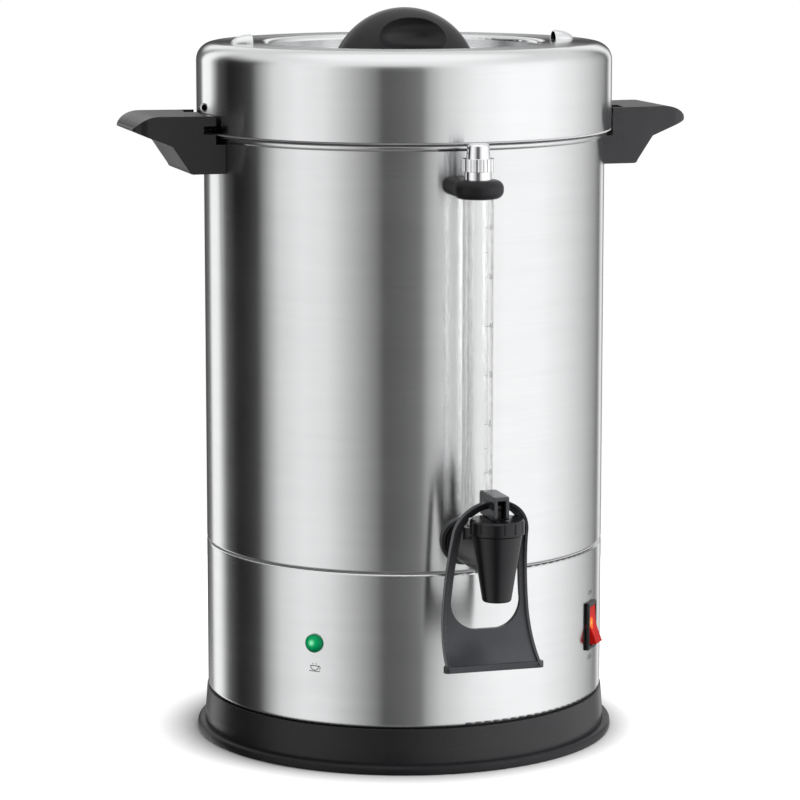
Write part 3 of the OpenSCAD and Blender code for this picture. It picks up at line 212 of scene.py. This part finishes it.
def weigh(tree, first, second, share):
    """The first value by its share and the second by the rest."""
    return math_node(tree, "ADD", math_node(tree, "MULTIPLY", first, share),
                     math_node(tree, "MULTIPLY", second, 1.0 - share))


def noise(tree, vector, scale=1.0, detail=3.0, roughness=0.55):
    return add(tree, "ShaderNodeTexNoise", {"Vector": vector, "Scale": scale, "Detail": detail,
               "Roughness": roughness}).outputs["Fac"]


def spread(tree, value, low, high, to_low=0.0, to_high=1.0):
    """The value's range low..high, stretched to to_low..to_high and kept within it."""
    return add(tree, "ShaderNodeMapRange", {"Value": value, "From Min": low, "From Max": high,
               "To Min": to_low, "To Max": to_high}).outputs[0]


def uneven(tree, value, level, least, most):
    """The level times least where the noise is low, and times most where it is high."""
    return spread(tree, value, 0.3, 0.7, level * least, level * most)


def ramp(tree, value, stops, smooth=False):
    """Colour ramp from (place, colour or grey) pairs."""
    made = add(tree, "ShaderNodeValToRGB", {"Fac": value})
    made.color_ramp.interpolation = "EASE" if smooth else "LINEAR"
    points = made.color_ramp.elements
    while len(points) < len(stops):
        points.new(0.5)
    for point, (place, colour) in zip(points, stops):
        point.position = place
        point.color = opaque(colour)
    return made.outputs["Color"]


def mix(tree, factor, first, second):
    """Two colours mixed, each a socket, a plain colour or a grey level."""
    made = add(tree, "ShaderNodeMix", data_type="RGBA")
    for place, value in ((0, factor), (6, opaque(first)), (7, opaque(second))):
        feed(tree, made.inputs[place], value)
    return made.outputs[2]


def bump(tree, height, strength, distance, normal=None):
    inputs = {"Height": height, "Strength": strength, "Distance": distance}
    if normal is not None:
        inputs["Normal"] = normal
    return add(tree, "ShaderNodeBump", inputs).outputs[0]


def group(name, inputs, outputs, build):
    """A shader node group; build(tree, given) returns the output sockets in order."""
    tree = bpy.data.node_groups.new(name, "ShaderNodeTree")
    for label, kind, value in inputs:
        socket = tree.interface.new_socket(label, in_out="INPUT", socket_type="NodeSocket" + kind)
        if value is not None:
            socket.default_value = value
    for label, kind in outputs:
        tree.interface.new_socket(label, in_out="OUTPUT", socket_type="NodeSocket" + kind)
    given = tree.nodes.new("NodeGroupInput").outputs
    end = tree.nodes.new("NodeGroupOutput")
    for socket, made in zip(end.inputs, build(tree, given)):
        tree.links.new(made, socket)
    return tree


def place_group(tree, made, inputs):
    """The outputs of a group, placed in a tree with its own inputs."""
    used = tree.nodes.new("ShaderNodeGroup")
    used.node_tree = made
    for key, value in inputs.items():
        feed(tree, used.inputs[key], value)
    return used.outputs


# ------------------------------------------------------------------ shared effects

def build_brushing(tree, given):
    """Lines that run round the Z axis, on walls and on flat tops alike."""
    x, y, z = add(tree, "ShaderNodeSeparateXYZ", {0: given["Vector"]}).outputs
    radius = math_node(tree, "SQRT", math_node(tree, "ADD", math_node(tree, "MULTIPLY", x, x),
                       math_node(tree, "MULTIPLY", y, y)))
    across = math_node(tree, "ADD", radius, z)
    along = math_node(tree, "MULTIPLY", x, given["Streak"])
    aside = math_node(tree, "MULTIPLY", y, given["Streak"])

    def stretched(per_metre):
        rise = math_node(tree, "MULTIPLY", across, per_metre)
        return add(tree, "ShaderNodeCombineXYZ", {0: along, 1: aside, 2: rise}).outputs[0]

    lines = noise(tree, stretched(given["Lines"]), detail=4.0, roughness=0.7)
    bands = noise(tree, stretched(math_node(tree, "MULTIPLY", given["Lines"], 0.07)), detail=2.0)
    smudge = noise(tree, given["Vector"], scale=14.0, detail=2.0)
    return lines, bands, smudge


BRUSHING = group("turned brushing", [("Vector", "Vector", None), ("Lines", "Float", 1500.0),
                 ("Streak", "Float", 12.0)], [("Lines", "Float"), ("Bands", "Float"), ("Smudge", "Float")],
                 build_brushing)


def build_moulding(tree, given):
    """The fine, even grain of a moulded face, and its slow mottle."""
    grain = noise(tree, given["Vector"], scale=given["Grain"], detail=2.0)
    mottle = noise(tree, given["Vector"], scale=45.0, detail=3.0)
    return grain, mottle


MOULDING = group("moulded grain", [("Vector", "Vector", None), ("Grain", "Float", 2600.0)],
                 [("Grain", "Float"), ("Mottle", "Float")], build_moulding)


def build_edges(tree, given):
    """A rounded normal at every edge, and a mask that is 1 on the edges."""
    rounded = add(tree, "ShaderNodeBevel", {"Radius": given["Radius"]}, samples=6).outputs[0]
    plain = add(tree, "ShaderNodeNewGeometry").outputs["Normal"]
    turn = add(tree, "ShaderNodeVectorMath", {0: rounded, 1: plain}, operation="DOT_PRODUCT")
    return rounded, spread(tree, turn.outputs["Value"], 0.999, 0.86)


EDGES = group("rounded edges", [("Radius", "Float", 0.0006)], [("Normal", "Vector"), ("Edge", "Float")],
              build_edges)


def build_dust(tree, given):
    """Sparse specks and faint rubbed patches."""
    specks = spread(tree, noise(tree, given["Vector"], scale=900.0, detail=1.0), 0.70, 0.78)
    patches = spread(tree, noise(tree, given["Vector"], scale=30.0, detail=4.0), 0.45, 0.75)
    return (math_node(tree, "MULTIPLY", specks, patches),)


DUST = group("dust", [("Vector", "Vector", None)], [("Dust", "Float")], build_dust)


# ------------------------------------------------------------------ materials

def material(name, build, **fixed):
    """A material with one Principled shader; build(tree, place) gives the inputs that vary."""
    made = bpy.data.materials.new(name)
    made.use_nodes = True
    tree = made.node_tree
    shader = tree.nodes["Principled BSDF"]
    for key, value in fixed.items():
        shader.inputs[key.replace("_", " ")].default_value = value
    place = add(tree, "ShaderNodeTexCoord").outputs["Object"]
    for key, varied in build(tree, place).items():
        tree.links.new(varied, shader.inputs[key])
    return made


def steel(name, bright, dark, rough, relief=0.03, anisotropy=0.95):
    """Sheet steel, brushed round the Z axis."""
    def build(tree, place):
        brushed = place_group(tree, BRUSHING, {"Vector": place})
        tone = weigh(tree, brushed["Lines"], brushed["Bands"], share=0.55)
        wear_and_sheen = weigh(tree, brushed["Smudge"], brushed["Lines"], share=0.6)
        tangent = add(tree, "ShaderNodeTangent", direction_type="RADIAL", axis="Z")
        return {"Base Color": mix(tree, spread(tree, tone, 0.35, 0.65), dark, bright),
                "Roughness": uneven(tree, wear_and_sheen, rough, 0.82, 1.2),
                "Normal": bump(tree, brushed["Lines"], strength=relief, distance=0.00005),
                "Tangent": tangent.outputs[0]}
    return material(name, build, Metallic=1.0, Anisotropic=anisotropy, Anisotropic_Rotation=0.25)


def plastic(name, colour, pale, rough, relief=0.12, edge=0.0006, shine=0.35):
    """Moulded plastic or rubber with a fine grain, and edges made slightly paler by a painted highlight.
    """
    def build(tree, place):
        moulded = place_group(tree, MOULDING, {"Vector": place})
        edges = place_group(tree, EDGES, {"Radius": edge})
        dust = place_group(tree, DUST, {"Vector": place})
        mottled = math_node(tree, "MULTIPLY", spread(tree, moulded["Mottle"], 0.35, 0.65), 0.35)
        # Painted highlight: the edge mask mixes every edge towards a paler tone
        wear_and_sheen = math_node(tree, "MULTIPLY", edges["Edge"], 0.35)
        edge_highlighted = mix(tree, wear_and_sheen, mix(tree, mottled, colour, pale), scaled(pale, 1.6))
        specks = math_node(tree, "MULTIPLY", dust["Dust"], 0.12)
        return {"Base Color": mix(tree, specks, edge_highlighted, (0.35, 0.34, 0.32)),
                "Roughness": uneven(tree, moulded["Mottle"], rough, 0.9, 1.12),
                "Normal": bump(tree, moulded["Grain"], strength=relief, distance=0.00004,
                               normal=edges["Normal"])}
    return material(name, build, IOR=1.5, Specular_IOR_Level=shine)


def plated(name, bright, dark, rough):
    """Smooth plated or machined metal with faint turning marks."""
    def build(tree, place):
        edges = place_group(tree, EDGES, {"Radius": 0.0003})
        cloud = noise(tree, place, scale=120.0, detail=3.0)
        return {"Base Color": mix(tree, spread(tree, cloud, 0.3, 0.7), dark, bright),
                "Roughness": uneven(tree, cloud, rough, 0.7, 1.4),
                "Normal": bump(tree, cloud, strength=0.04, distance=0.0001, normal=edges["Normal"])}
    return material(name, build, Metallic=1.0)


def clear(name, tint, ior=1.3, solid=0.55):
    """Clear tube: faint haze and fine scratches along it; solid is its share that bends light."""
    def build(tree, place):
        stretched = add(tree, "ShaderNodeMapping", {"Vector": place, "Scale": (700.0, 700.0, 1.5)})
        scratch = noise(tree, stretched.outputs[0], detail=2.0)
        return {"Base Color": mix(tree, spread(tree, scratch, 0.55, 0.8), tint, scaled(tint, 0.93)),
                "Roughness": spread(tree, scratch, 0.5, 0.8, 0.02, 0.032)}
    return material(name, build, Transmission_Weight=1.0, IOR=ior, Alpha=solid)


def lit_plastic(name, colour, glow, strength, centre, reach):
    """Clear coloured plastic with a lamp behind it, brightest at the centre, in millimetres."""
    def build(tree, place):
        edges = place_group(tree, EDGES, {"Radius": 0.0005})
        away = add(tree, "ShaderNodeVectorMath", {0: place, 1: scaled(centre, MM)}, operation="DISTANCE")
        near = spread(tree, away.outputs["Value"], 0.0, reach * MM, 1.0, 0.0)
        cloud = noise(tree, place, scale=260.0, detail=2.0)
        return {"Emission Color": ramp(tree, near, glow, smooth=True),
                "Base Color": mix(tree, cloud, scaled(colour, 0.8), colour),
                "Normal": edges["Normal"]}
    return material(name, build, Roughness=0.22, Emission_Strength=strength, Specular_IOR_Level=0.08)


def glazed(name, colour, rough=0.3):
    """Plain ceramic or pale moulding with a faint mottle."""
    def build(tree, place):
        mottle = place_group(tree, MOULDING, {"Vector": place})["Mottle"]
        return {"Base Color": mix(tree, spread(tree, mottle, 0.3, 0.7), scaled(colour, 0.86), colour),
                "Roughness": uneven(tree, mottle, rough, 0.8, 1.2)}
    return material(name, build)


def printed(name, colour, pale):
    """Thin screen print, slightly uneven."""
    def build(tree, place):
        return {"Base Color": mix(tree, noise(tree, place, scale=1800.0, detail=2.0), colour, pale)}
    return material(name, build, Roughness=0.5)


def on_shell(turn, height, outward):
    """A point off the shell, in millimetres, by its turn from the tap and its height."""
    angle = math.radians(TAP_BEARING + turn)
    reach = BODY_R + outward
    return (reach * math.cos(angle), reach * math.sin(angle), height)


RED_GLOW = [(0.0, (0.20, 0.002, 0.001)), (0.45, (0.36, 0.005, 0.002)), (0.55, (0.95, 0.16, 0.01)),
            (0.75, (1.0, 0.65, 0.08))]
GREEN_GLOW = [(0.0, (0.0, 0.03, 0.01)), (0.5, (0.0, 0.20, 0.06)), (1.0, (0.30, 0.90, 0.50))]

# Where the lamps behind the rocker and the ready lens shine brightest
RED_SPOT = on_shell(SWITCH_TURN - 1.4, SWITCH_Z + 2.5, outward=5.0)
GREEN_SPOT = on_shell(LIGHT_TURN, LIGHT_Z + 1.0, outward=4.5)

FINISHES = {
    "brushed_shell": steel("brushed shell", (0.69, 0.695, 0.70), (0.655, 0.66, 0.665), 0.20),
    "lid_steel": steel("brushed lid", (0.71, 0.715, 0.72), (0.685, 0.69, 0.695), 0.17, relief=0.015),
    "inner_steel": steel("satin steel", (0.66, 0.665, 0.67), (0.60, 0.605, 0.61), 0.3, anisotropy=0.4),
    "zinc_steel": plated("zinc plate", (0.62, 0.63, 0.66), (0.5, 0.51, 0.53), 0.35),
    "black_plastic": plastic("black moulding", (0.012, 0.012, 0.013), (0.018, 0.018, 0.019), 0.29,
                             shine=0.24),
    "tap_plastic": plastic("tap moulding", (0.004, 0.004, 0.005), (0.008, 0.008, 0.009), 0.24,
                           relief=0.08),
    "foot_rubber": plastic("soft rubber", (0.008, 0.008, 0.009), (0.013, 0.013, 0.014), 0.36,
                           shine=0.16),
    "silicone": plastic("red silicone", (0.4, 0.1, 0.045), (0.5, 0.15, 0.07), 0.45, edge=0.0003),
    "dark_silicone": plastic("dark silicone", (0.05, 0.05, 0.052), (0.07, 0.07, 0.072), 0.5,
                             edge=0.0003),
    "clear_glass": clear("sight glass", (0.97, 0.975, 0.97), solid=0.85),
    "clear_guard": clear("clear guard", (0.98, 0.98, 0.98), ior=1.22, solid=0.75),
    "chrome_trim": plated("chrome", (0.86, 0.86, 0.87), (0.8, 0.8, 0.82), 0.05),
    "green_lens": lit_plastic("green lens", (0.0, 0.17, 0.06), GREEN_GLOW, 0.9, GREEN_SPOT, reach=5.6),
    "red_rocker": lit_plastic("red rocker", (0.14, 0.002, 0.001), RED_GLOW, 0.85, RED_SPOT, reach=9.0),
    "heater_metal": plated("cast alloy", (0.6, 0.6, 0.61), (0.45, 0.45, 0.46), 0.45),
    "brass": plated("brass", (0.72, 0.56, 0.27), (0.6, 0.44, 0.18), 0.28),
    "pale_ceramic": glazed("pale moulding", (0.8, 0.78, 0.72)),
}
# Dark grey print, also used as the painted shade in the screws' cross recesses
PRINT_AND_SHADE = printed("grey print and painted shade", (0.045, 0.045, 0.05), (0.0875, 0.0875, 0.095))

# Nodes whose finish differs from the rest of their slot
GREY_GASKET = plastic("grey gasket", (0.2, 0.2, 0.205), (0.24, 0.24, 0.245), 0.5, edge=0.0002)
OWN_FINISH = {
    # The lever's moulding is a little paler and bluer than the other black plastics: a painted sheen
    "tap_lever": plastic("lever moulding with painted sheen", (0.018, 0.019, 0.022), (0.026, 0.027, 0.031), 0.27,
                         relief=0.08, shine=0.45),
    "seam_gasket": GREY_GASKET,
    "lid_gasket": GREY_GASKET,
    "gauge_seal": FINISHES["dark_silicone"],
}


def dress_nodes():
    """Every CAD node gets its own finish, or that of its slot."""
    for part in frame["record"]["subparts"]:
        mesh = nodes[part["node"]].data
        mesh.materials.clear()
        mesh.materials.append(OWN_FINISH.get(part["node"], FINISHES[part["material_slot"]]))


# ------------------------------------------------------------------ new pieces

def finish_piece(name, made, finish, body="urn"):
    """A piece from a bmesh, on its body, in its finish."""
    mesh = bpy.data.meshes.new(name)
    made.to_mesh(mesh)
    made.free()
    mesh.materials.append(finish)
    piece = bpy.data.objects.new(name, mesh)
    bpy.context.scene.collection.objects.link(piece)
    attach(piece, body)
    return piece


def text_mesh(words, height):
    """Flat letters as a bmesh in millimetres, centred on the origin in X and Y."""
    curve = bpy.data.curves.new("letters", "FONT")
    curve.body = words
    curve.size = height * FONT_SHARE
    curve.align_x = "CENTER"
    curve.align_y = "CENTER"
    holder = bpy.data.objects.new("letters", curve)
    bpy.context.scene.collection.objects.link(holder)
    bpy.context.view_layer.update()
    flat = bpy.data.meshes.new_from_object(holder.evaluated_get(bpy.context.evaluated_depsgraph_get()))
    bpy.data.objects.remove(holder)
    bpy.data.curves.remove(curve)
    made = bmesh.new()
    made.from_mesh(flat)
    bpy.data.meshes.remove(flat)
    return made


def bar_mesh(made, x, y, width, height):
    """Adds a flat bar to a bmesh, in millimetres."""
    place = Matrix.Translation((x, y, 0.0)) @ Matrix.Diagonal((width, height, 1.0, 1.0))
    bmesh.ops.create_grid(made, x_segments=1, y_segments=1, size=0.5, matrix=place)


def arc_mesh(made, x, y, radius, stroke, start, end):
    """Adds a flat arc of the given stroke to a bmesh, in millimetres and degrees."""
    centre = Vector((x, y, 0.0))
    side = Vector((math.cos(math.radians(start)), math.sin(math.radians(start)), 0.0))
    ends = [made.verts.new(centre + side * reach) for reach in (radius - stroke / 2, radius + stroke / 2)]
    edge = made.edges.new(ends)
    bmesh.ops.spin(made, geom=[*ends, edge], cent=centre, axis=(0.0, 0.0, 1.0),
                   angle=math.radians(end - start), steps=ARC_STEPS, use_duplicate=False)


def wrap(made, axis, radius, turn, height):
    """Bends a flat bmesh (X sideways, Y up, mm) round a vertical cylinder, just off its face."""
    bmesh.ops.triangulate(made, faces=made.faces[:])
    long_edges = [edge for edge in made.edges if edge.calc_length() > INK_EDGE]
    bmesh.ops.subdivide_edges(made, edges=long_edges, cuts=1)
    bmesh.ops.remove_doubles(made, verts=made.verts[:], dist=MERGE)
    middle = math.radians(TAP_BEARING + turn)
    reach = radius + INK_LIFT
    for vert in made.verts:
        angle = middle + vert.co.x / radius
        vert.co = Vector((axis[0] + reach * math.cos(angle), axis[1] + reach * math.sin(angle),
                          height + vert.co.y)) * MM
    bmesh.ops.recalc_face_normals(made, faces=made.faces[:])
    made.normal_update()
    outward = Vector((math.cos(middle), math.sin(middle), 0.0))
    wrong = [face for face in made.faces if face.normal.dot(outward) < 0.0]
    bmesh.ops.reverse_faces(made, faces=wrong)


def print_on(name, made, axis, radius, turn, height):
    """A flat bmesh as ink on an upright cylinder."""
    wrap(made, axis, radius, turn, height)
    finish_piece(name, made, PRINT_AND_SHADE)


def make_gauge_scale():
    """Cup numbers and ticks down the right side of the guard tube."""
    step = (SCALE_HIGH - SCALE_LOW) / (len(SCALE_CUPS) - 1)
    for place, count in enumerate(SCALE_CUPS):
        print_on("scale_number_%d" % count, text_mesh(str(count), NUMBER_SIZE), (0.0, GAUGE_Y), GUARD_R,
                 SCALE_TURN, SCALE_LOW + step * place)
    marks = bmesh.new()
    for place in range(2 * len(SCALE_CUPS) - 1):
        z = (place - len(SCALE_CUPS) + 1) * step / 2
        bar_mesh(marks, TICK_X, z, TICK_LONG if place % 2 == 0 else TICK_SHORT, TICK_STROKE)
    print_on("scale_ticks", marks, (0.0, GAUGE_Y), GUARD_R, SCALE_TURN, (SCALE_LOW + SCALE_HIGH) / 2)


def make_switch_marks():
    """The two plain words at the switch's ends."""
    for words, z in (("ON", SWITCH_Z + WORD_RISE), ("OFF", SWITCH_Z - WORD_RISE)):
        print_on("switch_" + words.lower(), text_mesh(words, WORD_SIZE), (0.0, 0.0), BODY_R,
                 SWITCH_TURN, z)


def make_light_mark():
    """A small cup sign under the ready light, in place of a word."""
    made = bmesh.new()
    arc_mesh(made, 0.0, CUP_RIM_Y, CUP_R, CUP_STROKE, 180.0, 360.0)
    bar_mesh(made, 0.0, CUP_RIM_Y, 2 * CUP_R + CUP_STROKE, CUP_STROKE)
    arc_mesh(made, CUP_R, EAR_Y, EAR_R, FINE_STROKE, EAR_FROM, 90.0)
    bar_mesh(made, 0.0, SAUCER_Y, SAUCER_W, FINE_STROKE)
    for x in (-STEAM_X, STEAM_X):
        bar_mesh(made, x, STEAM_Y, STEAM_W, STEAM_H)
    print_on("ready_mark", made, (0.0, 0.0), BODY_R, LIGHT_TURN, LIGHT_Z - SIGN_DROP)


def make_foot_trim():
    """The trim under the base ring, with a low lip; it stands for the CAD's taller one."""
    outline = [(TRIM_IN, TRIM_GRIP), (TRIM_IN, 0.0), (TRIM_OUT, 0.0), (TRIM_OUT, TRIM_LIP),
               (TRIM_CHANNEL[1], TRIM_LIP), (TRIM_CHANNEL[1], TRIM_FLOOR), (TRIM_CHANNEL[0], TRIM_FLOOR),
               (TRIM_CHANNEL[0], TRIM_GRIP)]
    made = bmesh.new()
    corners = [made.verts.new((reach * MM, 0.0, z * MM)) for reach, z in outline]
    sides = [made.edges.new(pair) for pair in zip(corners, corners[1:] + corners[:1])]
    bmesh.ops.spin(made, geom=corners + sides, cent=(0.0, 0.0, 0.0), axis=(0.0, 0.0, 1.0),
                   angle=math.tau, steps=TRIM_STEPS, use_merge=True, use_duplicate=False)
    bmesh.ops.recalc_face_normals(made, faces=made.faces[:])
    outer = (TRIM_CHANNEL[1] + TRIM_OUT) / 2 * MM
    for z, rounding, segments in TRIM_EDGES:
        rim = [edge for edge in made.edges
               if all(abs(vert.co.z - z * MM) < MERGE * MM and vert.co.xy.length > outer
                      for vert in edge.verts)]
        bmesh.ops.bevel(made, geom=rim, offset=rounding * MM, offset_type="OFFSET", segments=segments,
                        profile=0.5, affect="EDGES", clamp_overlap=True, material=-1)
    for face in made.faces:
        face.smooth = True
    trim = finish_piece("foot_trim", made, FINISHES["foot_rubber"])
    trim.data.set_sharp_from_angle(angle=math.radians(TRIM_SHARP))
    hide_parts("foot_ring")


def make_soft_pieces():
    """The tap's spring and seat cup as pieces of their own on the valve's body, in place of their CAD
    nodes.
    """
    for name, node, slot in (("coil_spring", "valve_spring", "inner_steel"),
                             ("soft_cup", "seat_cup", "silicone")):
        made = bmesh.new()
        made.from_mesh(nodes[node].data)
        bmesh.ops.remove_doubles(made, verts=made.verts[:], dist=MERGE * MM)
        bmesh.ops.recalc_face_normals(made, faces=made.faces[:])
        piece = finish_piece(name, made, FINISHES[slot], body="valve")
        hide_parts(node)
        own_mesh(piece)


def make_screw_crosses():
    """Dark crosses under the bottom plate's screws: painted shade for their cross recesses."""
    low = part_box("base_screws")[0]
    place = SCREW_RING * math.sqrt(0.5)
    made = bmesh.new()
    for x in (-place, place):
        for y in (-place, place):
            bar_mesh(made, x, y, CROSS_LONG, CROSS_WIDE)
            bar_mesh(made, x, y, CROSS_WIDE, CROSS_LONG)
    for vert in made.verts:
        vert.co = Vector((vert.co.x * MM, vert.co.y * MM, low[2] - CROSS_LIFT * MM))
    bmesh.ops.reverse_faces(made, faces=made.faces[:])
    # Painted shade: flat crosses in the dark grey print stand for the shade inside the recesses
    finish_piece("screw_cross_shade", made, PRINT_AND_SHADE)


# ------------------------------------------------------------------ studio

def aimed(place, aim):
    """The placing of a lamp or camera that looks from one point to another."""
    turned = (Vector(aim) - Vector(place)).to_track_quat("-Z", "Y").to_matrix().to_4x4()
    return Matrix.Translation(place) @ turned


def make_camera():
    """The photograph's view."""
    turn = math.radians(VIEW_TURN)
    place = Vector((-math.sin(turn) * VIEW_REACH, -math.cos(turn) * VIEW_REACH, VIEW_HEIGHT))
    aim = Vector((math.cos(turn) * AIM_SIDE, -math.sin(turn) * AIM_SIDE, AIM_HEIGHT))
    data = bpy.data.cameras.new("camera")
    data.lens = LENS
    camera = bpy.data.objects.new("camera", data)
    camera.matrix_world = aimed(place, aim)
    bpy.context.scene.collection.objects.link(camera)
    bpy.context.scene.camera = camera


def round_ramp(tree, bearing, stops):
    """Colour ramp from (degrees to the right of the camera, brightness) pairs."""
    return ramp(tree, bearing, [(0.5 + turn / 360.0, level) for turn, level in stops])


def make_studio():
    """Bright and dark walls and a pale ceiling for the steel to mirror, and plain white behind the urn."""
    world = bpy.data.worlds.new("studio")
    bpy.context.scene.world = world
    world.use_nodes = True
    tree = world.node_tree
    place = add(tree, "ShaderNodeTexCoord").outputs["Generated"]
    height = add(tree, "ShaderNodeSeparateXYZ", {0: place}).outputs[2]
    turn = math.radians(90.0 + VIEW_TURN)
    faced = add(tree, "ShaderNodeVectorRotate", {"Vector": place, "Angle": turn}, rotation_type="Z_AXIS")
    bearing = add(tree, "ShaderNodeTexGradient", {"Vector": faced.outputs[0]},
                  gradient_type="RADIAL").outputs["Fac"]
    away = math_node(tree, "ABSOLUTE", math_node(tree, "SUBTRACT", bearing, 0.5))
    above, below = (spread(tree, height, *band) for band in (REAR_ABOVE, REAR_BELOW))
    rear = math_node(tree, "MULTIPLY", spread(tree, away, *REAR_SIDE),
                     math_node(tree, "MAXIMUM", above, below))
    walls = mix(tree, rear, round_ramp(tree, bearing, STUDIO_ROUND), STUDIO_REAR)
    low = mix(tree, spread(tree, height, *SKIRTING), STUDIO_LOW, walls)
    ceiling = round_ramp(tree, bearing, STUDIO_CEILING)
    top = mix(tree, spread(tree, height, *ZENITH), ceiling, STUDIO_TOP)
    background = tree.nodes["Background"]
    tree.links.new(mix(tree, spread(tree, height, *CORNICE), low, top), background.inputs["Color"])
    white = add(tree, "ShaderNodeBackground", {"Color": opaque(1.0)})
    seen = add(tree, "ShaderNodeLightPath").outputs
    direct = math_node(tree, "MAXIMUM", seen["Is Camera Ray"], seen["Is Transmission Ray"])
    both = add(tree, "ShaderNodeMixShader", {0: direct, 1: background.outputs[0], 2: white.outputs[0]})
    tree.links.new(both.outputs[0], tree.nodes["World Output"].inputs["Surface"])


def make_paper():
    """White paper that glows for the camera alone, less where the urn shades it."""
    paper = bpy.data.materials.new("white paper")
    paper.use_nodes = True
    tree = paper.node_tree
    shader = tree.nodes["Principled BSDF"]
    shader.inputs["Base Color"].default_value = opaque(FLOOR_GREY)
    shader.inputs["Roughness"].default_value = 0.9
    shader.inputs["Specular IOR Level"].default_value = 0.1
    near = add(tree, "ShaderNodeAmbientOcclusion", {"Distance": SHADOW_REACH}, samples=16).outputs["AO"]
    glow = add(tree, "ShaderNodeEmission", {"Color": opaque(1.0),
               "Strength": spread(tree, near, *SHADOW_RANGE, 0.0, FLOOR_GLOW)})
    none = add(tree, "ShaderNodeEmission", {"Strength": 0.0})
    seen = add(tree, "ShaderNodeLightPath").outputs["Is Camera Ray"]
    lit = add(tree, "ShaderNodeMixShader", {0: seen, 1: none.outputs[0], 2: glow.outputs[0]})
    both = add(tree, "ShaderNodeAddShader", {0: shader.outputs[0], 1: lit.outputs[0]})
    tree.links.new(both.outputs[0], tree.nodes["Material Output"].inputs["Surface"])
    return paper


def make_floor():
    """A white disc that keeps the shadow and ends where nothing shows its edge."""
    made = bmesh.new()
    bmesh.ops.create_circle(made, cap_ends=True, segments=FLOOR_SIDES, radius=FLOOR_R)
    mesh = bpy.data.meshes.new("floor")
    made.to_mesh(mesh)
    made.free()
    mesh.materials.append(make_paper())
    floor = bpy.data.objects.new("floor", mesh)
    bpy.context.scene.collection.objects.link(floor)
    floor.visible_glossy = False


def make_lamp(name, width, watts, place, aim):
    """A soft round lamp that no polished face mirrors."""
    data = bpy.data.lights.new(name, "AREA")
    data.shape = "DISK"
    data.size = width
    data.energy = watts
    lamp = bpy.data.objects.new(name, data)
    lamp.visible_glossy = False
    lamp.matrix_world = aimed(place, aim)
    bpy.context.scene.collection.objects.link(lamp)


make_camera()
dress_nodes()
make_gauge_scale()
make_switch_marks()
make_light_mark()
make_foot_trim()
make_soft_pieces()
make_screw_crosses()
make_studio()
make_floor()
for lamp in LAMPS:
    make_lamp(*lamp)
bpy.context.scene.view_settings.view_transform = "Standard"
